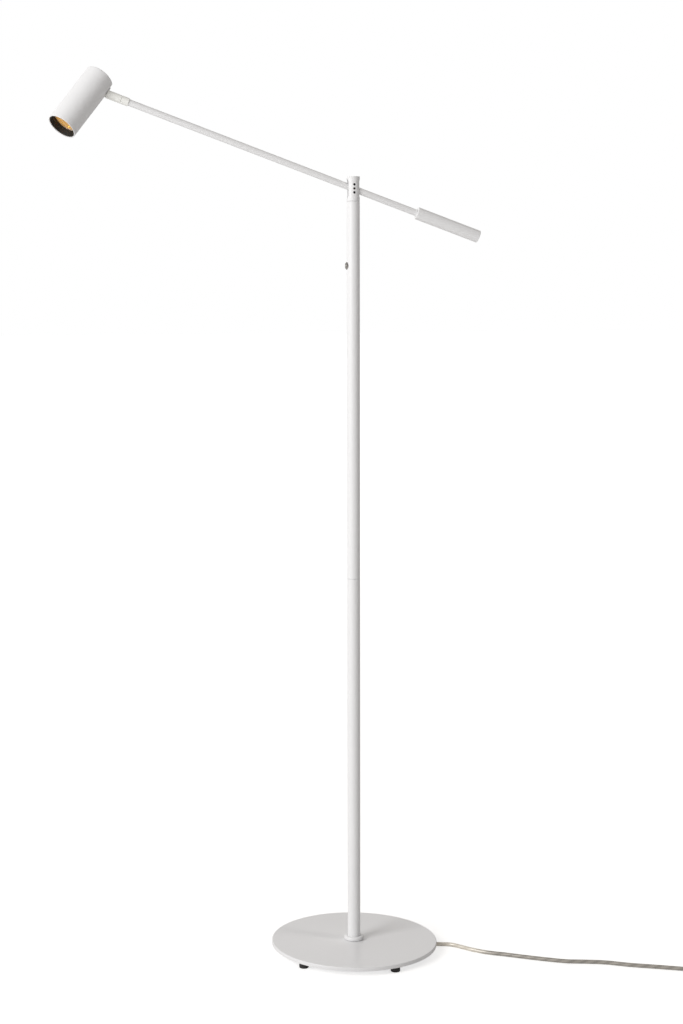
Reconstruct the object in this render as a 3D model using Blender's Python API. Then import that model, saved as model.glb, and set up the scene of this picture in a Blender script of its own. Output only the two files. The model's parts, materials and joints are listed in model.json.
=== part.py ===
"""Adjustable arm floor lamp, at its real size in metres, +Z up.

A heavy round base carries a two-piece pole. A slotted head turns on top of the pole and holds a straight
arm on a cross screw, with a counterweight on its short end. On its long end the arm carries a wrist that
turns about the arm, and a spot head that tilts on a pin inside the housing. A push button on the pole
dims the light. Each moving group hangs on an empty that stands on its joint's axis.
"""

import math

import bmesh
import bpy
from mathutils import Matrix, Vector

# ---- Driving dimensions, in metres and degrees ----

GAP = 0.0003  # between pieces that touch
FIT = 0.0003  # radial clearance of plugs, screws and bushes in their bores
CUT_OVER = 0.002  # how far a cutter runs past the face it opens

FOOT_COUNT = 5
FOOT_DIA = 0.014
FOOT_HEIGHT = 0.0077
FOOT_EDGE = 0.0012
FOOT_CIRCLE = 0.115  # radius from the base's middle to each foot
FOOT_START = -44.0  # turn of the first foot from the front

BASE_DIA = 0.250
BASE_THICK = 0.006
BASE_EDGE = 0.0012
NUT_POCKET_DEPTH = 0.0032

STUD_DIA = 0.010
STUD_BORE = 0.0068
STUD_LENGTH = 0.036
NUT_ACROSS = 0.0170
NUT_THICK = 0.0027

POLE_DIA = 0.019
POLE_WALL = 0.0010
TUBE_LENGTH = 0.555  # each of the two tubes
POLE_FOOT_LENGTH = 0.030
JOINER_LENGTH = 0.080
COLLAR_HEIGHT = 0.006
COLLAR_ROUND = 0.0024

BUTTON_BELOW_TOP = 0.093  # from the top of the upper tube down to the button
BEZEL_DIA = 0.0113
BEZEL_WALL = 0.0014
BEZEL_PROUD = 0.0011
BUTTON_PROUD = 0.0025
BUTTON_TRAVEL = 0.0010
BUTTON_DEPTH = 0.0048
SWITCH_SIZE = (0.0065, 0.0085, 0.0110)
BOARD_SIZE = (0.0012, 0.0100, 0.0420)

PIVOT_HEAD_LENGTH = 0.0355
PIVOT_ABOVE_SEAM = 0.0180
SLOT_PLAY = 0.0009  # of the arm between the slot's walls
SLOT_HEIGHT = 0.0288
STEM_DIA = 0.0100
STEM_BORE = 0.0060
BUSH_LENGTH = 0.0200
WASHER_THICK = 0.0012
STEM_NUT_THICK = 0.0040
PIVOT_SCREW_DIA = 0.0030
PIVOT_SCREW_RECESS = 0.0004
GRUB_DIA = 0.0032
GRUB_SPACING = 0.0057  # from the pivot screw to each grub screw
GRUB_RECESS_SHARE = 0.233  # of the wall beside the slot
SOCKET_ACROSS = 0.0014
SOCKET_DEPTH_SHARE = 0.7  # of the grub screw's length
SHOE_LONG = 0.0076
SHOE_TALL = 0.0156
SHOE_SHARE = 0.233  # its thickness, of the wall beside the slot

ARM_TURN = 187.0  # about the pole: the long end points left and slightly forward
ARM_RISE = 20.6  # of the long end above level
ROD_DIA = 0.0095
ROD_WALL = 0.0011
ROD_LONG = 0.348  # pivot to the wrist collar
ROD_SHORT = 0.1007  # pivot to the counterweight
ROD_INTO_COLLAR = 0.009
ROD_INTO_WEIGHT = 0.030
AXLE_BUSH_DIA = 0.0048
WEIGHT_DIA = 0.018
WEIGHT_LENGTH = 0.099
WEIGHT_EDGE = 0.0006
WEIGHT_SCREW_DIA = 0.0040
WEIGHT_SCREW_AT = 0.015  # from the weight's inner end

WRIST_TURN = 21.3  # about the arm: the spot leans towards the front
COLLAR_LENGTH = 0.0113
WRIST_STEM_DIA = 0.0060
WRIST_BORE = 0.0032
WRIST_STEM_LENGTH = 0.0140
WRIST_RING_DIA = 0.0090
WRIST_RING_THICK = 0.0020
TONGUE_THICK = 0.0076
TONGUE_HEIGHT = 0.0080
WIRE_EXIT = (0.0050, 0.0024)
EYE_DIA = 0.0104

PIN_FROM_PIVOT = 0.404
HEAD_TILT = 16.5  # of the light away from square to the arm
HEAD_TILT_LEAST = 8.5
HEAD_DIA = 0.044
HEAD_WALL = 0.0013
HEAD_FRONT = 0.0766  # tilt pin to the open end
HEAD_BACK = 0.0220  # tilt pin to the back
HEAD_BACK_WALL = 0.0016
HEAD_BACK_ROUND = 0.0022
HEAD_SLOT = 0.0132
PIN_DIA = 0.0038
PIN_LENGTH = 0.0160
EAR_THICK = 0.0020
EAR_WIDTH = 0.0110
EAR_TOP = 0.0055
YOKE_PLATE = (0.020, 0.018, 0.0020)
YOKE_BELOW = 0.0080  # tilt pin to the yoke's plate
FIN_COUNT = 5
FIN_PITCH = 0.0075
FIN_THICK = 0.0018
SINK_CORE_DIA = 0.016
LED_BOARD_DIA = 0.026
LED_BOARD_THICK = 0.0016
LED_DIA = 0.0100
LED_THICK = 0.0012
REFLECTOR_BACK_DIA = 0.0130
REFLECTOR_WALL = 0.0009
REFLECTOR_DEPTH = 0.0180
GLASS_THICK = 0.0014
BAFFLE_WALL = 0.0010
BAFFLE_SET_BACK = 0.0008

LEAD_DIA = 0.006
CORE_DIA = 0.0040  # the lead without its sheath, inside the lamp
FLOOR_CLEAR = 0.00005
BOOT_START = 0.062
BOOT_LENGTH = 0.042
BOOT_HEAD_DIA = 0.0084
BOOT_HEAD_LENGTH = 0.0070
BOOT_TIP_DIA = 0.0071
BOOT_HEIGHT = 0.0046  # its axis above the floor
BOOT_SIDE = 0.0025
BOOT_POCKET_WIDTH = 0.0130

COIL_CENTRE = (0.541, -0.084)
COIL_BORE = 0.0426
COIL_DIA = 0.0912
COIL_BOTTOM = 0.0009
COIL_HEIGHT = 0.01205
TIE_ANGLE = 135.0
TIE_WIDTH = 0.010
TIE_THICK = 0.0005

PLUG_LENGTH = 0.036
PLUG_WIDTH = 0.0353
PLUG_THICK = 0.0137
PLUG_NECK = 0.0110
PLUG_BACK = (0.5836, -0.006)  # where the lead enters it
PLUG_PIN_DIA = 0.004
PLUG_PIN_LENGTH = 0.019
PLUG_PIN_SPACING = 0.0186

# The lead's way over the floor from the boot to the coil, and from the coil to the plug.
LEAD_ROUTE = (
    (0.1043, 0.0025, 0.0046),
    (0.1180, 0.0030, 0.0038),
    (0.1340, 0.0040, 0.0031),
    (0.1490, 0.0010, 0.0031),
    (0.1630, -0.0095, 0.0031),
    (0.1780, -0.0220, 0.0031),
    (0.1990, -0.0346, 0.0031),
    (0.2240, -0.0438, 0.0031),
    (0.2520, -0.0552, 0.0031),
    (0.2830, -0.0667, 0.0031),
    (0.3110, -0.0752, 0.0031),
    (0.3380, -0.0776, 0.0031),
    (0.3680, -0.0818, 0.0031),
    (0.4020, -0.0930, 0.0031),
    (0.4400, -0.1020, 0.0031),
    (0.4750, -0.1110, 0.0031),
    (0.5030, -0.1182, 0.0033),
)
TAIL_ROUTE = (
    (0.5836, -0.0580, 0.0072),
    (0.5837, -0.0440, 0.0052),
    (0.5838, -0.0310, 0.0049),
    (0.5837, -0.0180, 0.0059),
    (0.5836, -0.0063, 0.0069),
)

ROUND_STEPS = {"base": 64, "head": 48, "pole": 28, "coil": 36, "small": 14}  # sides of round pieces

# ---- Sizes that follow ----

BASE_BOTTOM = FOOT_HEIGHT + GAP
BASE_TOP = BASE_BOTTOM + BASE_THICK
LOWER_TUBE_START = BASE_TOP + GAP
UPPER_TUBE_START = LOWER_TUBE_START + TUBE_LENGTH + GAP
UPPER_TUBE_END = UPPER_TUBE_START + TUBE_LENGTH
SEAM_HEIGHT = UPPER_TUBE_END + GAP
PIVOT_HEIGHT = SEAM_HEIGHT + PIVOT_ABOVE_SEAM
BUTTON_HEIGHT = UPPER_TUBE_END - BUTTON_BELOW_TOP
POLE_BORE = POLE_DIA - 2 * POLE_WALL
PLUG_FIT_DIA = POLE_BORE - 2 * FIT
HEAD_BORE = HEAD_DIA - 2 * HEAD_WALL
HEAD_FILL_DIA = HEAD_BORE - 2 * FIT
COLLAR_DIA = POLE_DIA + 0.0106
JOINER_BORE = PLUG_FIT_DIA - 0.0034
STEM_NUT_DIA = POLE_BORE - 0.0020
SLOT_WIDTH = ROD_DIA + SLOT_PLAY
SLOT_WALL = (POLE_DIA - SLOT_WIDTH) / 2
SHOE_SIZE = (SHOE_LONG, SHOE_SHARE * SLOT_WALL, SHOE_TALL)
GRUB_RECESS = GRUB_RECESS_SHARE * SLOT_WALL
WRIST_DIA = ROD_DIA + 0.0025
WRIST_SLEEVE_END = HEAD_DIA / 2 + 0.0010  # from the tilt pin back to the sleeve's end
REFLECTOR_DIA = HEAD_FILL_DIA - 0.0042


# ---- Making solids ----


def finish(name, colour, roughness, metallic=0.0):
    """A plain material: linear colour, roughness and metallic value."""
    made = bpy.data.materials.new(name)
    made.use_nodes = True
    shader = made.node_tree.nodes["Principled BSDF"]
    shader.inputs["Base Color"].default_value = (*colour, 1.0)
    shader.inputs["Roughness"].default_value = roughness
    shader.inputs["Metallic"].default_value = metallic
    return made


def frame_empty(name, parent=None, location=(0, 0, 0), turn=(0, 0, 0)):
    """An empty that carries a group, turned by three angles in degrees."""
    empty = bpy.data.objects.new(name, None)
    empty.empty_display_size = 0.02
    empty.location = location
    empty.rotation_euler = [math.radians(angle) for angle in turn]
    empty.parent = parent
    bpy.context.collection.objects.link(empty)
    return empty


def solid(name, shape, material, parent, location=(0, 0, 0), sharp=35.0):
    """Puts a bmesh into the scene as one named piece, with its faces outwards."""
    bmesh.ops.recalc_face_normals(shape, faces=shape.faces)
    if shape.calc_volume(signed=True) < 0:
        bmesh.ops.reverse_faces(shape, faces=shape.faces)
    mesh = bpy.data.meshes.new(name)
    shape.to_mesh(mesh)
    shape.free()
    mesh.shade_smooth()
    mesh.set_sharp_from_angle(angle=math.radians(sharp))
    if material:
        mesh.materials.append(material)
    made = bpy.data.objects.new(name, mesh)
    made.location = location
    made.parent = parent
    bpy.context.collection.objects.link(made)
    return made


def cut(target, name, shape, location=(0, 0, 0)):
    """Takes a shape out of a piece, with a hidden cutter in the same frame."""
    cutter = solid(f"cutter_{target.name}_{name}", shape, None, target.parent, location)
    cutter.hide_render = True
    cutter.display_type = "WIRE"
    boolean = target.modifiers.new(name, "BOOLEAN")
    boolean.object = cutter
    boolean.operation = "DIFFERENCE"


def add(target, name, shape):
    """Joins a shape to a piece, with a hidden copy of it in the same frame."""
    extra = solid(f"cutter_{target.name}_{name}", shape, None, target.parent)
    extra.hide_render = True
    extra.display_type = "WIRE"
    boolean = target.modifiers.new(name, "BOOLEAN")
    boolean.object = extra
    boolean.operation = "UNION"


AXIS_TURNS = {
    "Z": Matrix.Identity(4),
    "X": Matrix.Rotation(math.pi / 2, 4, "Y"),
    "Y": Matrix.Rotation(-math.pi / 2, 4, "X"),
}


def turned(profile, axis="Z", size="small"):
    """A profile of (radius, height) points spun about an axis. One that leaves the axis is a closed ring."""
    shape = bmesh.new()
    points = [shape.verts.new((radius, 0, height)) for radius, height in profile]
    edges = [shape.edges.new(pair) for pair in zip(points, points[1:])]
    if min(radius for radius, _ in profile) > 0:
        edges.append(shape.edges.new((points[-1], points[0])))
    bmesh.ops.spin(
        shape,
        geom=points + edges,
        cent=(0, 0, 0),
        axis=(0, 0, 1),
        angle=2 * math.pi,
        steps=ROUND_STEPS[size],
        use_merge=True,
    )
    bmesh.ops.remove_doubles(shape, verts=shape.verts, dist=1e-6)
    bmesh.ops.dissolve_degenerate(shape, edges=shape.edges, dist=1e-7)
    shape.transform(AXIS_TURNS[axis])
    return shape


def rod(diameter, start, end, axis="Z", chamfer=0.0, size="small"):
    """A round bar from start to end along an axis."""
    radius = diameter / 2
    if chamfer:
        profile = [(0, start), (radius - chamfer, start), (radius, start + chamfer)]
        profile += [(radius, end - chamfer), (radius - chamfer, end), (0, end)]
    else:
        profile = [(0, start), (radius, start), (radius, end), (0, end)]
    return turned(profile, axis, size)


def tube(outside, bore, start, end, axis="Z", size="small"):
    """A round tube from start to end along an axis."""
    profile = [(bore / 2, start), (outside / 2, start), (outside / 2, end), (bore / 2, end)]
    return turned(profile, axis, size)


def block(size, centre=(0, 0, 0)):
    """A box of a size about a centre."""
    shape = bmesh.new()
    bmesh.ops.create_cube(shape, size=1.0)
    bmesh.ops.scale(shape, vec=size, verts=shape.verts)
    bmesh.ops.translate(shape, vec=centre, verts=shape.verts)
    return shape


def hexagon(across, start, end, axis="Z"):
    """A six-sided bar, measured across its flats."""
    shape = bmesh.new()
    radius = across / math.sqrt(3)
    bmesh.ops.create_cone(
        shape, cap_ends=True, segments=6, radius1=radius, radius2=radius, depth=end - start
    )
    bmesh.ops.translate(shape, vec=(0, 0, (start + end) / 2), verts=shape.verts)
    shape.transform(AXIS_TURNS[axis])
    return shape


def arc(centre, radius, start, end, steps):
    """Points on an arc in a profile, between two angles in degrees."""
    found = []
    for step in range(steps + 1):
        angle = math.radians(start + (end - start) * step / steps)
        found.append((centre[0] + radius * math.cos(angle), centre[1] + radius * math.sin(angle)))
    return found


def extruded(outline, low, high, axis="Z"):
    """A flat outline of (first, second) points, given a thickness along an axis."""
    shape = bmesh.new()
    face = shape.faces.new([shape.verts.new((first, second, low)) for first, second in outline])
    made = bmesh.ops.extrude_face_region(shape, geom=[face])["geom"]
    tops = [item for item in made if isinstance(item, bmesh.types.BMVert)]
    bmesh.ops.translate(shape, vec=(0, 0, high - low), verts=tops)
    shape.transform(AXIS_TURNS[axis])
    return shape


def round_ended(width, start, end, steps=10):
    """The outline of a slot along the first direction: square at start, round at end."""
    centre = end - width / 2
    return [(start, -width / 2)] + arc((centre, 0), width / 2, -90, 90, steps) + [(start, width / 2)]


def smooth_path(route, spacing):
    """Evenly spaced points on a smooth curve through a route's points."""
    ends = [route[0], *route, route[-1]]
    fine = []
    for before, here, there, after in zip(ends, ends[1:], ends[2:], ends[3:]):
        p0, p1, p2, p3 = (Vector(point) for point in (before, here, there, after))
        for step in range(24):
            t = step / 24
            spot = p1 + (p2 - p0) * (t / 2) + (2 * p0 - 5 * p1 + 4 * p2 - p3) * (t * t / 2)
            fine.append(spot + (3 * p1 - p0 - 3 * p2 + p3) * (t * t * t / 2))
    fine.append(Vector(route[-1]))
    travel = [0.0]
    for here, there in zip(fine, fine[1:]):
        travel.append(travel[-1] + (there - here).length)
    count = max(2, round(travel[-1] / spacing))
    found, index = [], 0
    for step in range(count + 1):
        want = travel[-1] * step / count
        while index < len(fine) - 2 and travel[index + 1] < want:
            index += 1
        share = (want - travel[index]) / (travel[index + 1] - travel[index])
        found.append(fine[index].lerp(fine[index + 1], share))
    return found


def cord(name, route, diameter, material, parent, spacing=2.5):
    """A round cord along a smooth curve, with a point every few diameters and closed ends."""
    data = bpy.data.curves.new(name, "CURVE")
    data.dimensions = "3D"
    data.bevel_depth = diameter / 2
    data.bevel_resolution = 2
    data.use_fill_caps = True
    points = smooth_path(route, spacing * diameter)
    spline = data.splines.new("POLY")
    spline.points.add(len(points) - 1)
    for target, point in zip(spline.points, points):
        target.co = (*point, 1.0)
    data.materials.append(material)
    made = bpy.data.objects.new(name, data)
    made.parent = parent
    bpy.context.collection.objects.link(made)
    return made


# ---- The stand: base, feet, pole ----


def make_base(stand, finishes):
    radius = BASE_DIA / 2
    hole = STUD_DIA / 2 + FIT
    pocket = NUT_ACROSS / math.sqrt(3) + 2 * FIT
    edge = BASE_EDGE
    profile = [(hole, BASE_TOP)]
    profile += arc((radius - edge, BASE_TOP - edge), edge, 90, 0, 3)
    profile += arc((radius - edge, BASE_BOTTOM + edge), edge, 0, -90, 2)
    profile += [(pocket, BASE_BOTTOM), (pocket, BASE_BOTTOM + NUT_POCKET_DEPTH)]
    profile += [(hole, BASE_BOTTOM + NUT_POCKET_DEPTH)]
    plate = solid("base_plate", turned(profile, size="base"), finishes["white"], stand)
    boot_top = BOOT_HEIGHT + BOOT_HEAD_DIA / 2 + 2 * GAP
    long, wide = BOOT_LENGTH + 4 * GAP, BOOT_POCKET_WIDTH
    low = BASE_BOTTOM - BASE_EDGE
    centre = (BOOT_START + BOOT_LENGTH / 2, BOOT_SIDE, (low + boot_top) / 2)
    cut(plate, "boot_pocket", block((long, wide, boot_top - low), centre))
    for number in range(FOOT_COUNT):
        angle = math.radians(FOOT_START + number * 360 / FOOT_COUNT)
        place = (FOOT_CIRCLE * math.sin(angle), -FOOT_CIRCLE * math.cos(angle), 0)
        rim, edge = FOOT_DIA / 2, FOOT_EDGE
        outline = [(0, 0)] + arc((rim - edge, edge), edge, -90, 0, 2)
        outline += [(rim, FOOT_HEIGHT), (0, FOOT_HEIGHT)]
        solid(f"foot_{number + 1}", turned(outline), finishes["rubber"], stand, place)


def make_pole(stand, finishes):
    stud_start = BASE_BOTTOM + GAP / 2
    stud_end = stud_start + STUD_LENGTH
    stud = tube(STUD_DIA, STUD_BORE, stud_start, stud_end)
    solid("pole_stud", stud, finishes["zinc"], stand)
    nut_low = BASE_BOTTOM + NUT_POCKET_DEPTH - GAP - NUT_THICK
    shape = hexagon(NUT_ACROSS, nut_low, nut_low + NUT_THICK)
    nut = solid("stud_nut", shape, finishes["zinc"], stand)
    cut(nut, "thread", rod(STUD_DIA + 2 * FIT, nut_low - 0.001, nut_low + NUT_THICK + 0.001))
    foot_end = LOWER_TUBE_START + POLE_FOOT_LENGTH
    foot = tube(PLUG_FIT_DIA, STUD_DIA + 2 * FIT, LOWER_TUBE_START, foot_end, size="pole")
    solid("pole_foot", foot, finishes["steel"], stand)

    inner, outer, fillet = POLE_DIA / 2 + FIT, COLLAR_DIA / 2, COLLAR_ROUND
    low, high = BASE_TOP + GAP, BASE_TOP + GAP + COLLAR_HEIGHT
    ring = [(inner, low)] + arc((outer - fillet, low + fillet), fillet, -90, 0, 4)
    ring += arc((outer - fillet, high - fillet), fillet, 0, 90, 4) + [(inner, high)]
    solid("base_collar", turned(ring, size="pole"), finishes["white"], stand)

    lower_end = LOWER_TUBE_START + TUBE_LENGTH
    lower = tube(POLE_DIA, POLE_BORE, LOWER_TUBE_START, lower_end, size="pole")
    solid("lower_tube", lower, finishes["white"], stand)
    middle = (lower_end + UPPER_TUBE_START) / 2
    half = JOINER_LENGTH / 2
    joiner = tube(PLUG_FIT_DIA, JOINER_BORE, middle - half, middle + half, size="pole")
    solid("pole_joiner", joiner, finishes["steel"], stand)
    upper = tube(POLE_DIA, POLE_BORE, UPPER_TUBE_START, UPPER_TUBE_END, size="pole")
    upper_tube = solid("upper_tube", upper, finishes["white"], stand)
    window = rod(BEZEL_DIA + 2 * FIT, -POLE_DIA, 0, "X")
    cut(upper_tube, "button_hole", window, (0, 0, BUTTON_HEIGHT))

    bush_start = UPPER_TUBE_END - BUSH_LENGTH
    bush = tube(PLUG_FIT_DIA, STEM_DIA + 2 * FIT, bush_start, UPPER_TUBE_END, size="pole")
    solid("swivel_bush", bush, finishes["brass"], stand)


def make_button(stand, finishes):
    """The dimmer: its ring, its moving button, and the switch and board behind them."""
    height = (0, 0, BUTTON_HEIGHT)
    skin = POLE_DIA / 2
    switch_face = -(skin - BUTTON_DEPTH - BUTTON_PROUD / 2)
    ring_end = -skin - BEZEL_PROUD
    inner, outer = BEZEL_DIA / 2 - BEZEL_WALL, BEZEL_DIA / 2
    edge = 0.0004
    profile = [(inner, switch_face), (outer, switch_face), (outer, ring_end + edge)]
    profile += [(outer - edge, ring_end), (inner, ring_end)]
    solid("button_ring", turned(profile, "X"), finishes["steel"], stand, height)

    slide = frame_empty("button_slide", stand, height)
    face, cap = -skin - BUTTON_PROUD, inner - FIT
    rear = face + BUTTON_DEPTH
    button = [(0, rear), (cap, rear), (cap, face + 0.0006), (cap - 0.0006, face), (0, face)]
    solid("dimmer_button", turned(button, "X"), finishes["steel"], slide)

    long, wide, tall = SWITCH_SIZE
    switch_start = rear + BUTTON_TRAVEL + GAP
    place = (switch_start + long / 2, 0, BUTTON_HEIGHT)
    ring_reach = switch_face + GAP
    shape = block(SWITCH_SIZE)
    switch = solid("switch_body", shape, finishes["dark_plastic"], stand, place)
    nose = tube(BEZEL_DIA * 2, cap * 2 - 4 * FIT, -0.02, ring_reach - place[0], "X")
    cut(switch, "nose", nose, place)
    board_x = switch_start + long + GAP + BOARD_SIZE[0] / 2
    board = block(BOARD_SIZE, (board_x, 0, BUTTON_HEIGHT))
    solid("dimmer_board", board, finishes["board"], stand)


# ---- The head on top of the pole, with the arm's hinge ----


def make_pivot_head(swivel, finishes):
    """Stands on the pole's axis. Its slot holds the arm, and the hinge screw crosses the slot."""
    radius, seam = POLE_DIA / 2, SEAM_HEIGHT
    top = seam + PIVOT_HEAD_LENGTH
    stem, bore = STEM_DIA / 2, STEM_BORE / 2
    nut_end = UPPER_TUBE_END - BUSH_LENGTH - WASHER_THICK - STEM_NUT_THICK - 4 * GAP
    edge, bore_end = 0.0005, PIVOT_HEIGHT - SLOT_WIDTH / 2
    profile = [(0, top), (radius - edge, top), (radius, top - edge), (radius, seam), (stem, seam)]
    profile += [(stem, nut_end), (bore, nut_end), (bore, bore_end), (0, bore_end)]
    head = solid("pivot_head", turned(profile, size="pole"), finishes["white"], swivel)
    half = SLOT_WIDTH / 2
    outline = arc((SLOT_HEIGHT / 2 - half, 0), half, -90, 90, 10)
    outline += arc((half - SLOT_HEIGHT / 2, 0), half, 90, 270, 10)
    slot = extruded(outline, -POLE_DIA, POLE_DIA, "X")
    cut(head, "arm_slot", slot, (0, 0, PIVOT_HEIGHT))
    shoe_long, shoe_thick, shoe_tall = SHOE_SIZE
    depth = shoe_thick + 2 * GAP
    pocket = block((shoe_long + 2 * GAP, 2 * depth, shoe_tall + 2 * GAP), (0, half, 0))
    cut(head, "shoe_pocket", pocket, (0, 0, PIVOT_HEIGHT))
    cut(head, "hinge_bore", rod(PIVOT_SCREW_DIA + 2 * FIT, -0.02, 0.02, "Y"), (0, 0, PIVOT_HEIGHT))

    screw_end = radius - PIVOT_SCREW_RECESS
    shape = rod(PIVOT_SCREW_DIA, -screw_end, screw_end, "Y", chamfer=0.0002)
    screw = solid("pivot_screw", shape, finishes["steel"], swivel, (0, 0, PIVOT_HEIGHT))
    driver = block((0.0006, 0.0012, PIVOT_SCREW_DIA * 1.5), (0, screw_end, 0))
    cut(screw, "drive_slot", driver, (0, 0, PIVOT_HEIGHT))

    shoe_inner = half + GAP
    shape = block(SHOE_SIZE, (0, shoe_inner + shoe_thick / 2, 0))
    shoe = solid("friction_shoe", shape, finishes["nylon"], swivel, (0, 0, PIVOT_HEIGHT))
    cut(shoe, "hinge_bore", rod(PIVOT_SCREW_DIA + 2 * FIT, 0, 0.02, "Y"), (0, 0, PIVOT_HEIGHT))
    grub_start, grub_end = half + depth + GAP, radius - GRUB_RECESS
    for name, side in (("upper", 1), ("lower", -1)):
        place = (0, 0, PIVOT_HEIGHT + side * GRUB_SPACING)
        cut(head, f"grub_bore_{name}", rod(GRUB_DIA + 2 * FIT, half / 2, 0.02, "Y"), place)
        shape = rod(GRUB_DIA, grub_start, grub_end, "Y")
        grub = solid(f"grub_screw_{name}", shape, finishes["black_steel"], swivel, place)
        socket_end = grub_end - SOCKET_DEPTH_SHARE * (grub_end - grub_start)
        socket = hexagon(SOCKET_ACROSS, socket_end, grub_end + CUT_OVER, "Y")
        cut(grub, "socket", socket, place)

    washer_top = UPPER_TUBE_END - BUSH_LENGTH - GAP
    washer = tube(STEM_NUT_DIA, STEM_DIA + 2 * FIT, washer_top - WASHER_THICK, washer_top)
    solid("stem_washer", washer, finishes["steel"], swivel)
    nut_top = washer_top - WASHER_THICK - GAP
    nut = tube(STEM_NUT_DIA, STEM_DIA + 2 * FIT, nut_top - STEM_NUT_THICK, nut_top)
    solid("stem_nut", nut, finishes["zinc"], swivel)


# ---- The arm, along its own X axis towards the spot ----


def make_arm(hinge, finishes):
    rod_start, rod_end = -ROD_SHORT - ROD_INTO_WEIGHT, ROD_LONG + ROD_INTO_COLLAR
    bore = ROD_DIA - 2 * ROD_WALL
    shape = tube(ROD_DIA, bore, rod_start, rod_end, "X", "pole")
    arm = solid("arm_tube", shape, finishes["white"], hinge)
    cut(arm, "bush_hole", rod(AXLE_BUSH_DIA + 2 * FIT, -ROD_DIA, ROD_DIA, "Y"))
    reach = SLOT_WIDTH / 2 - GAP
    bush = tube(AXLE_BUSH_DIA, PIVOT_SCREW_DIA + 2 * FIT, -reach, reach, "Y")
    solid("hinge_bush", bush, finishes["brass"], hinge)

    inner_end, outer_end = -ROD_SHORT, -ROD_SHORT - WEIGHT_LENGTH
    hole, radius, edge = ROD_DIA / 2 + FIT, WEIGHT_DIA / 2, WEIGHT_EDGE
    hole_end = rod_start - GAP
    profile = [(0, hole_end), (hole, hole_end), (hole, inner_end), (radius - edge, inner_end)]
    profile += [(radius, inner_end - edge), (radius, outer_end + edge)]
    profile += [(radius - edge, outer_end), (0, outer_end)]
    shape = turned(profile, "X", "pole")
    weight = solid("counterweight", shape, finishes["white"], hinge)
    screw_at = (-ROD_SHORT - WEIGHT_SCREW_AT, 0, 0)
    cut(weight, "screw_bore", rod(WEIGHT_SCREW_DIA + 2 * FIT, -radius * 2, 0), screw_at)
    screw_out = 0.0006 - radius
    shape = rod(WEIGHT_SCREW_DIA, screw_out, -ROD_DIA / 2 - GAP)
    screw = solid("counterweight_screw", shape, finishes["black_steel"], hinge, screw_at)
    cut(screw, "socket", hexagon(0.0020, screw_out - 0.001, screw_out + 0.0016), screw_at)

    collar_start, collar_end = ROD_LONG, ROD_LONG + COLLAR_LENGTH
    radius, edge = WRIST_DIA / 2, 0.0003
    stem, wire = WRIST_STEM_DIA / 2, WRIST_BORE / 2
    profile = [(hole, collar_start), (radius - edge, collar_start), (radius, collar_start + edge)]
    profile += [(radius, collar_end), (stem, collar_end), (stem, collar_end + WRIST_STEM_LENGTH)]
    profile += [(wire, collar_end + WRIST_STEM_LENGTH), (wire, rod_end + GAP), (hole, rod_end + GAP)]
    solid("wrist_collar", turned(profile, "X", "pole"), finishes["cream"], hinge)
    ring_start = collar_end + WRIST_STEM_LENGTH - WRIST_RING_THICK
    ring = tube(WRIST_RING_DIA, WRIST_STEM_DIA + 2 * FIT, ring_start, ring_start + WRIST_RING_THICK, "X")
    solid("wrist_ring", ring, finishes["steel"], hinge)


def make_wrist(swivel, finishes):
    """The sleeve that turns on the collar's stem, and its tongue with the eye for the tilt pin."""
    start = ROD_LONG + COLLAR_LENGTH + GAP
    end = PIN_FROM_PIVOT - WRIST_SLEEVE_END
    shoulder = ROD_LONG + COLLAR_LENGTH + WRIST_STEM_LENGTH - WRIST_RING_THICK - GAP
    pocket_end = shoulder + WRIST_RING_THICK + 4 * GAP
    radius, hole, pocket = WRIST_DIA / 2, WRIST_STEM_DIA / 2 + FIT, WRIST_RING_DIA / 2 + FIT
    edge = 0.0003
    profile = [(0, pocket_end), (pocket, pocket_end), (pocket, shoulder), (hole, shoulder)]
    profile += [(hole, start), (radius, start), (radius, end - edge), (radius - edge, end), (0, end)]
    sleeve = solid("wrist_sleeve", turned(profile, "X", "pole"), finishes["cream"], swivel)

    tongue_start, half = end - 0.0010, EYE_DIA / 2
    meet = 180 - math.degrees(math.asin(TONGUE_HEIGHT / EYE_DIA))
    outline = [(tongue_start, -TONGUE_HEIGHT / 2)]
    outline += arc((PIN_FROM_PIVOT, 0), half, -meet, meet, 12)
    outline += [(tongue_start, TONGUE_HEIGHT / 2)]
    shape = extruded(outline, -TONGUE_THICK / 2, TONGUE_THICK / 2)
    shape.transform(Matrix.Rotation(math.pi / 2, 4, "X"))
    add(sleeve, "tongue", shape)
    bore_end = PIN_FROM_PIVOT - half - 0.002
    cut(sleeve, "wire_bore", rod(WRIST_BORE, pocket_end - 0.001, bore_end, "X"))
    long, wide = WIRE_EXIT
    exit_shape = block((long, wide, TONGUE_HEIGHT), (bore_end - long / 2 - GAP, 0, -TONGUE_HEIGHT / 2))
    cut(sleeve, "wire_exit", exit_shape)
    eye = rod(PIN_DIA + 2 * FIT, -TONGUE_THICK, TONGUE_THICK, "Y")
    cut(sleeve, "pin_eye", eye, (PIN_FROM_PIVOT, 0, 0))


# ---- The spot, about its tilt pin: +Z to its back, -Z with the light ----


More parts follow.
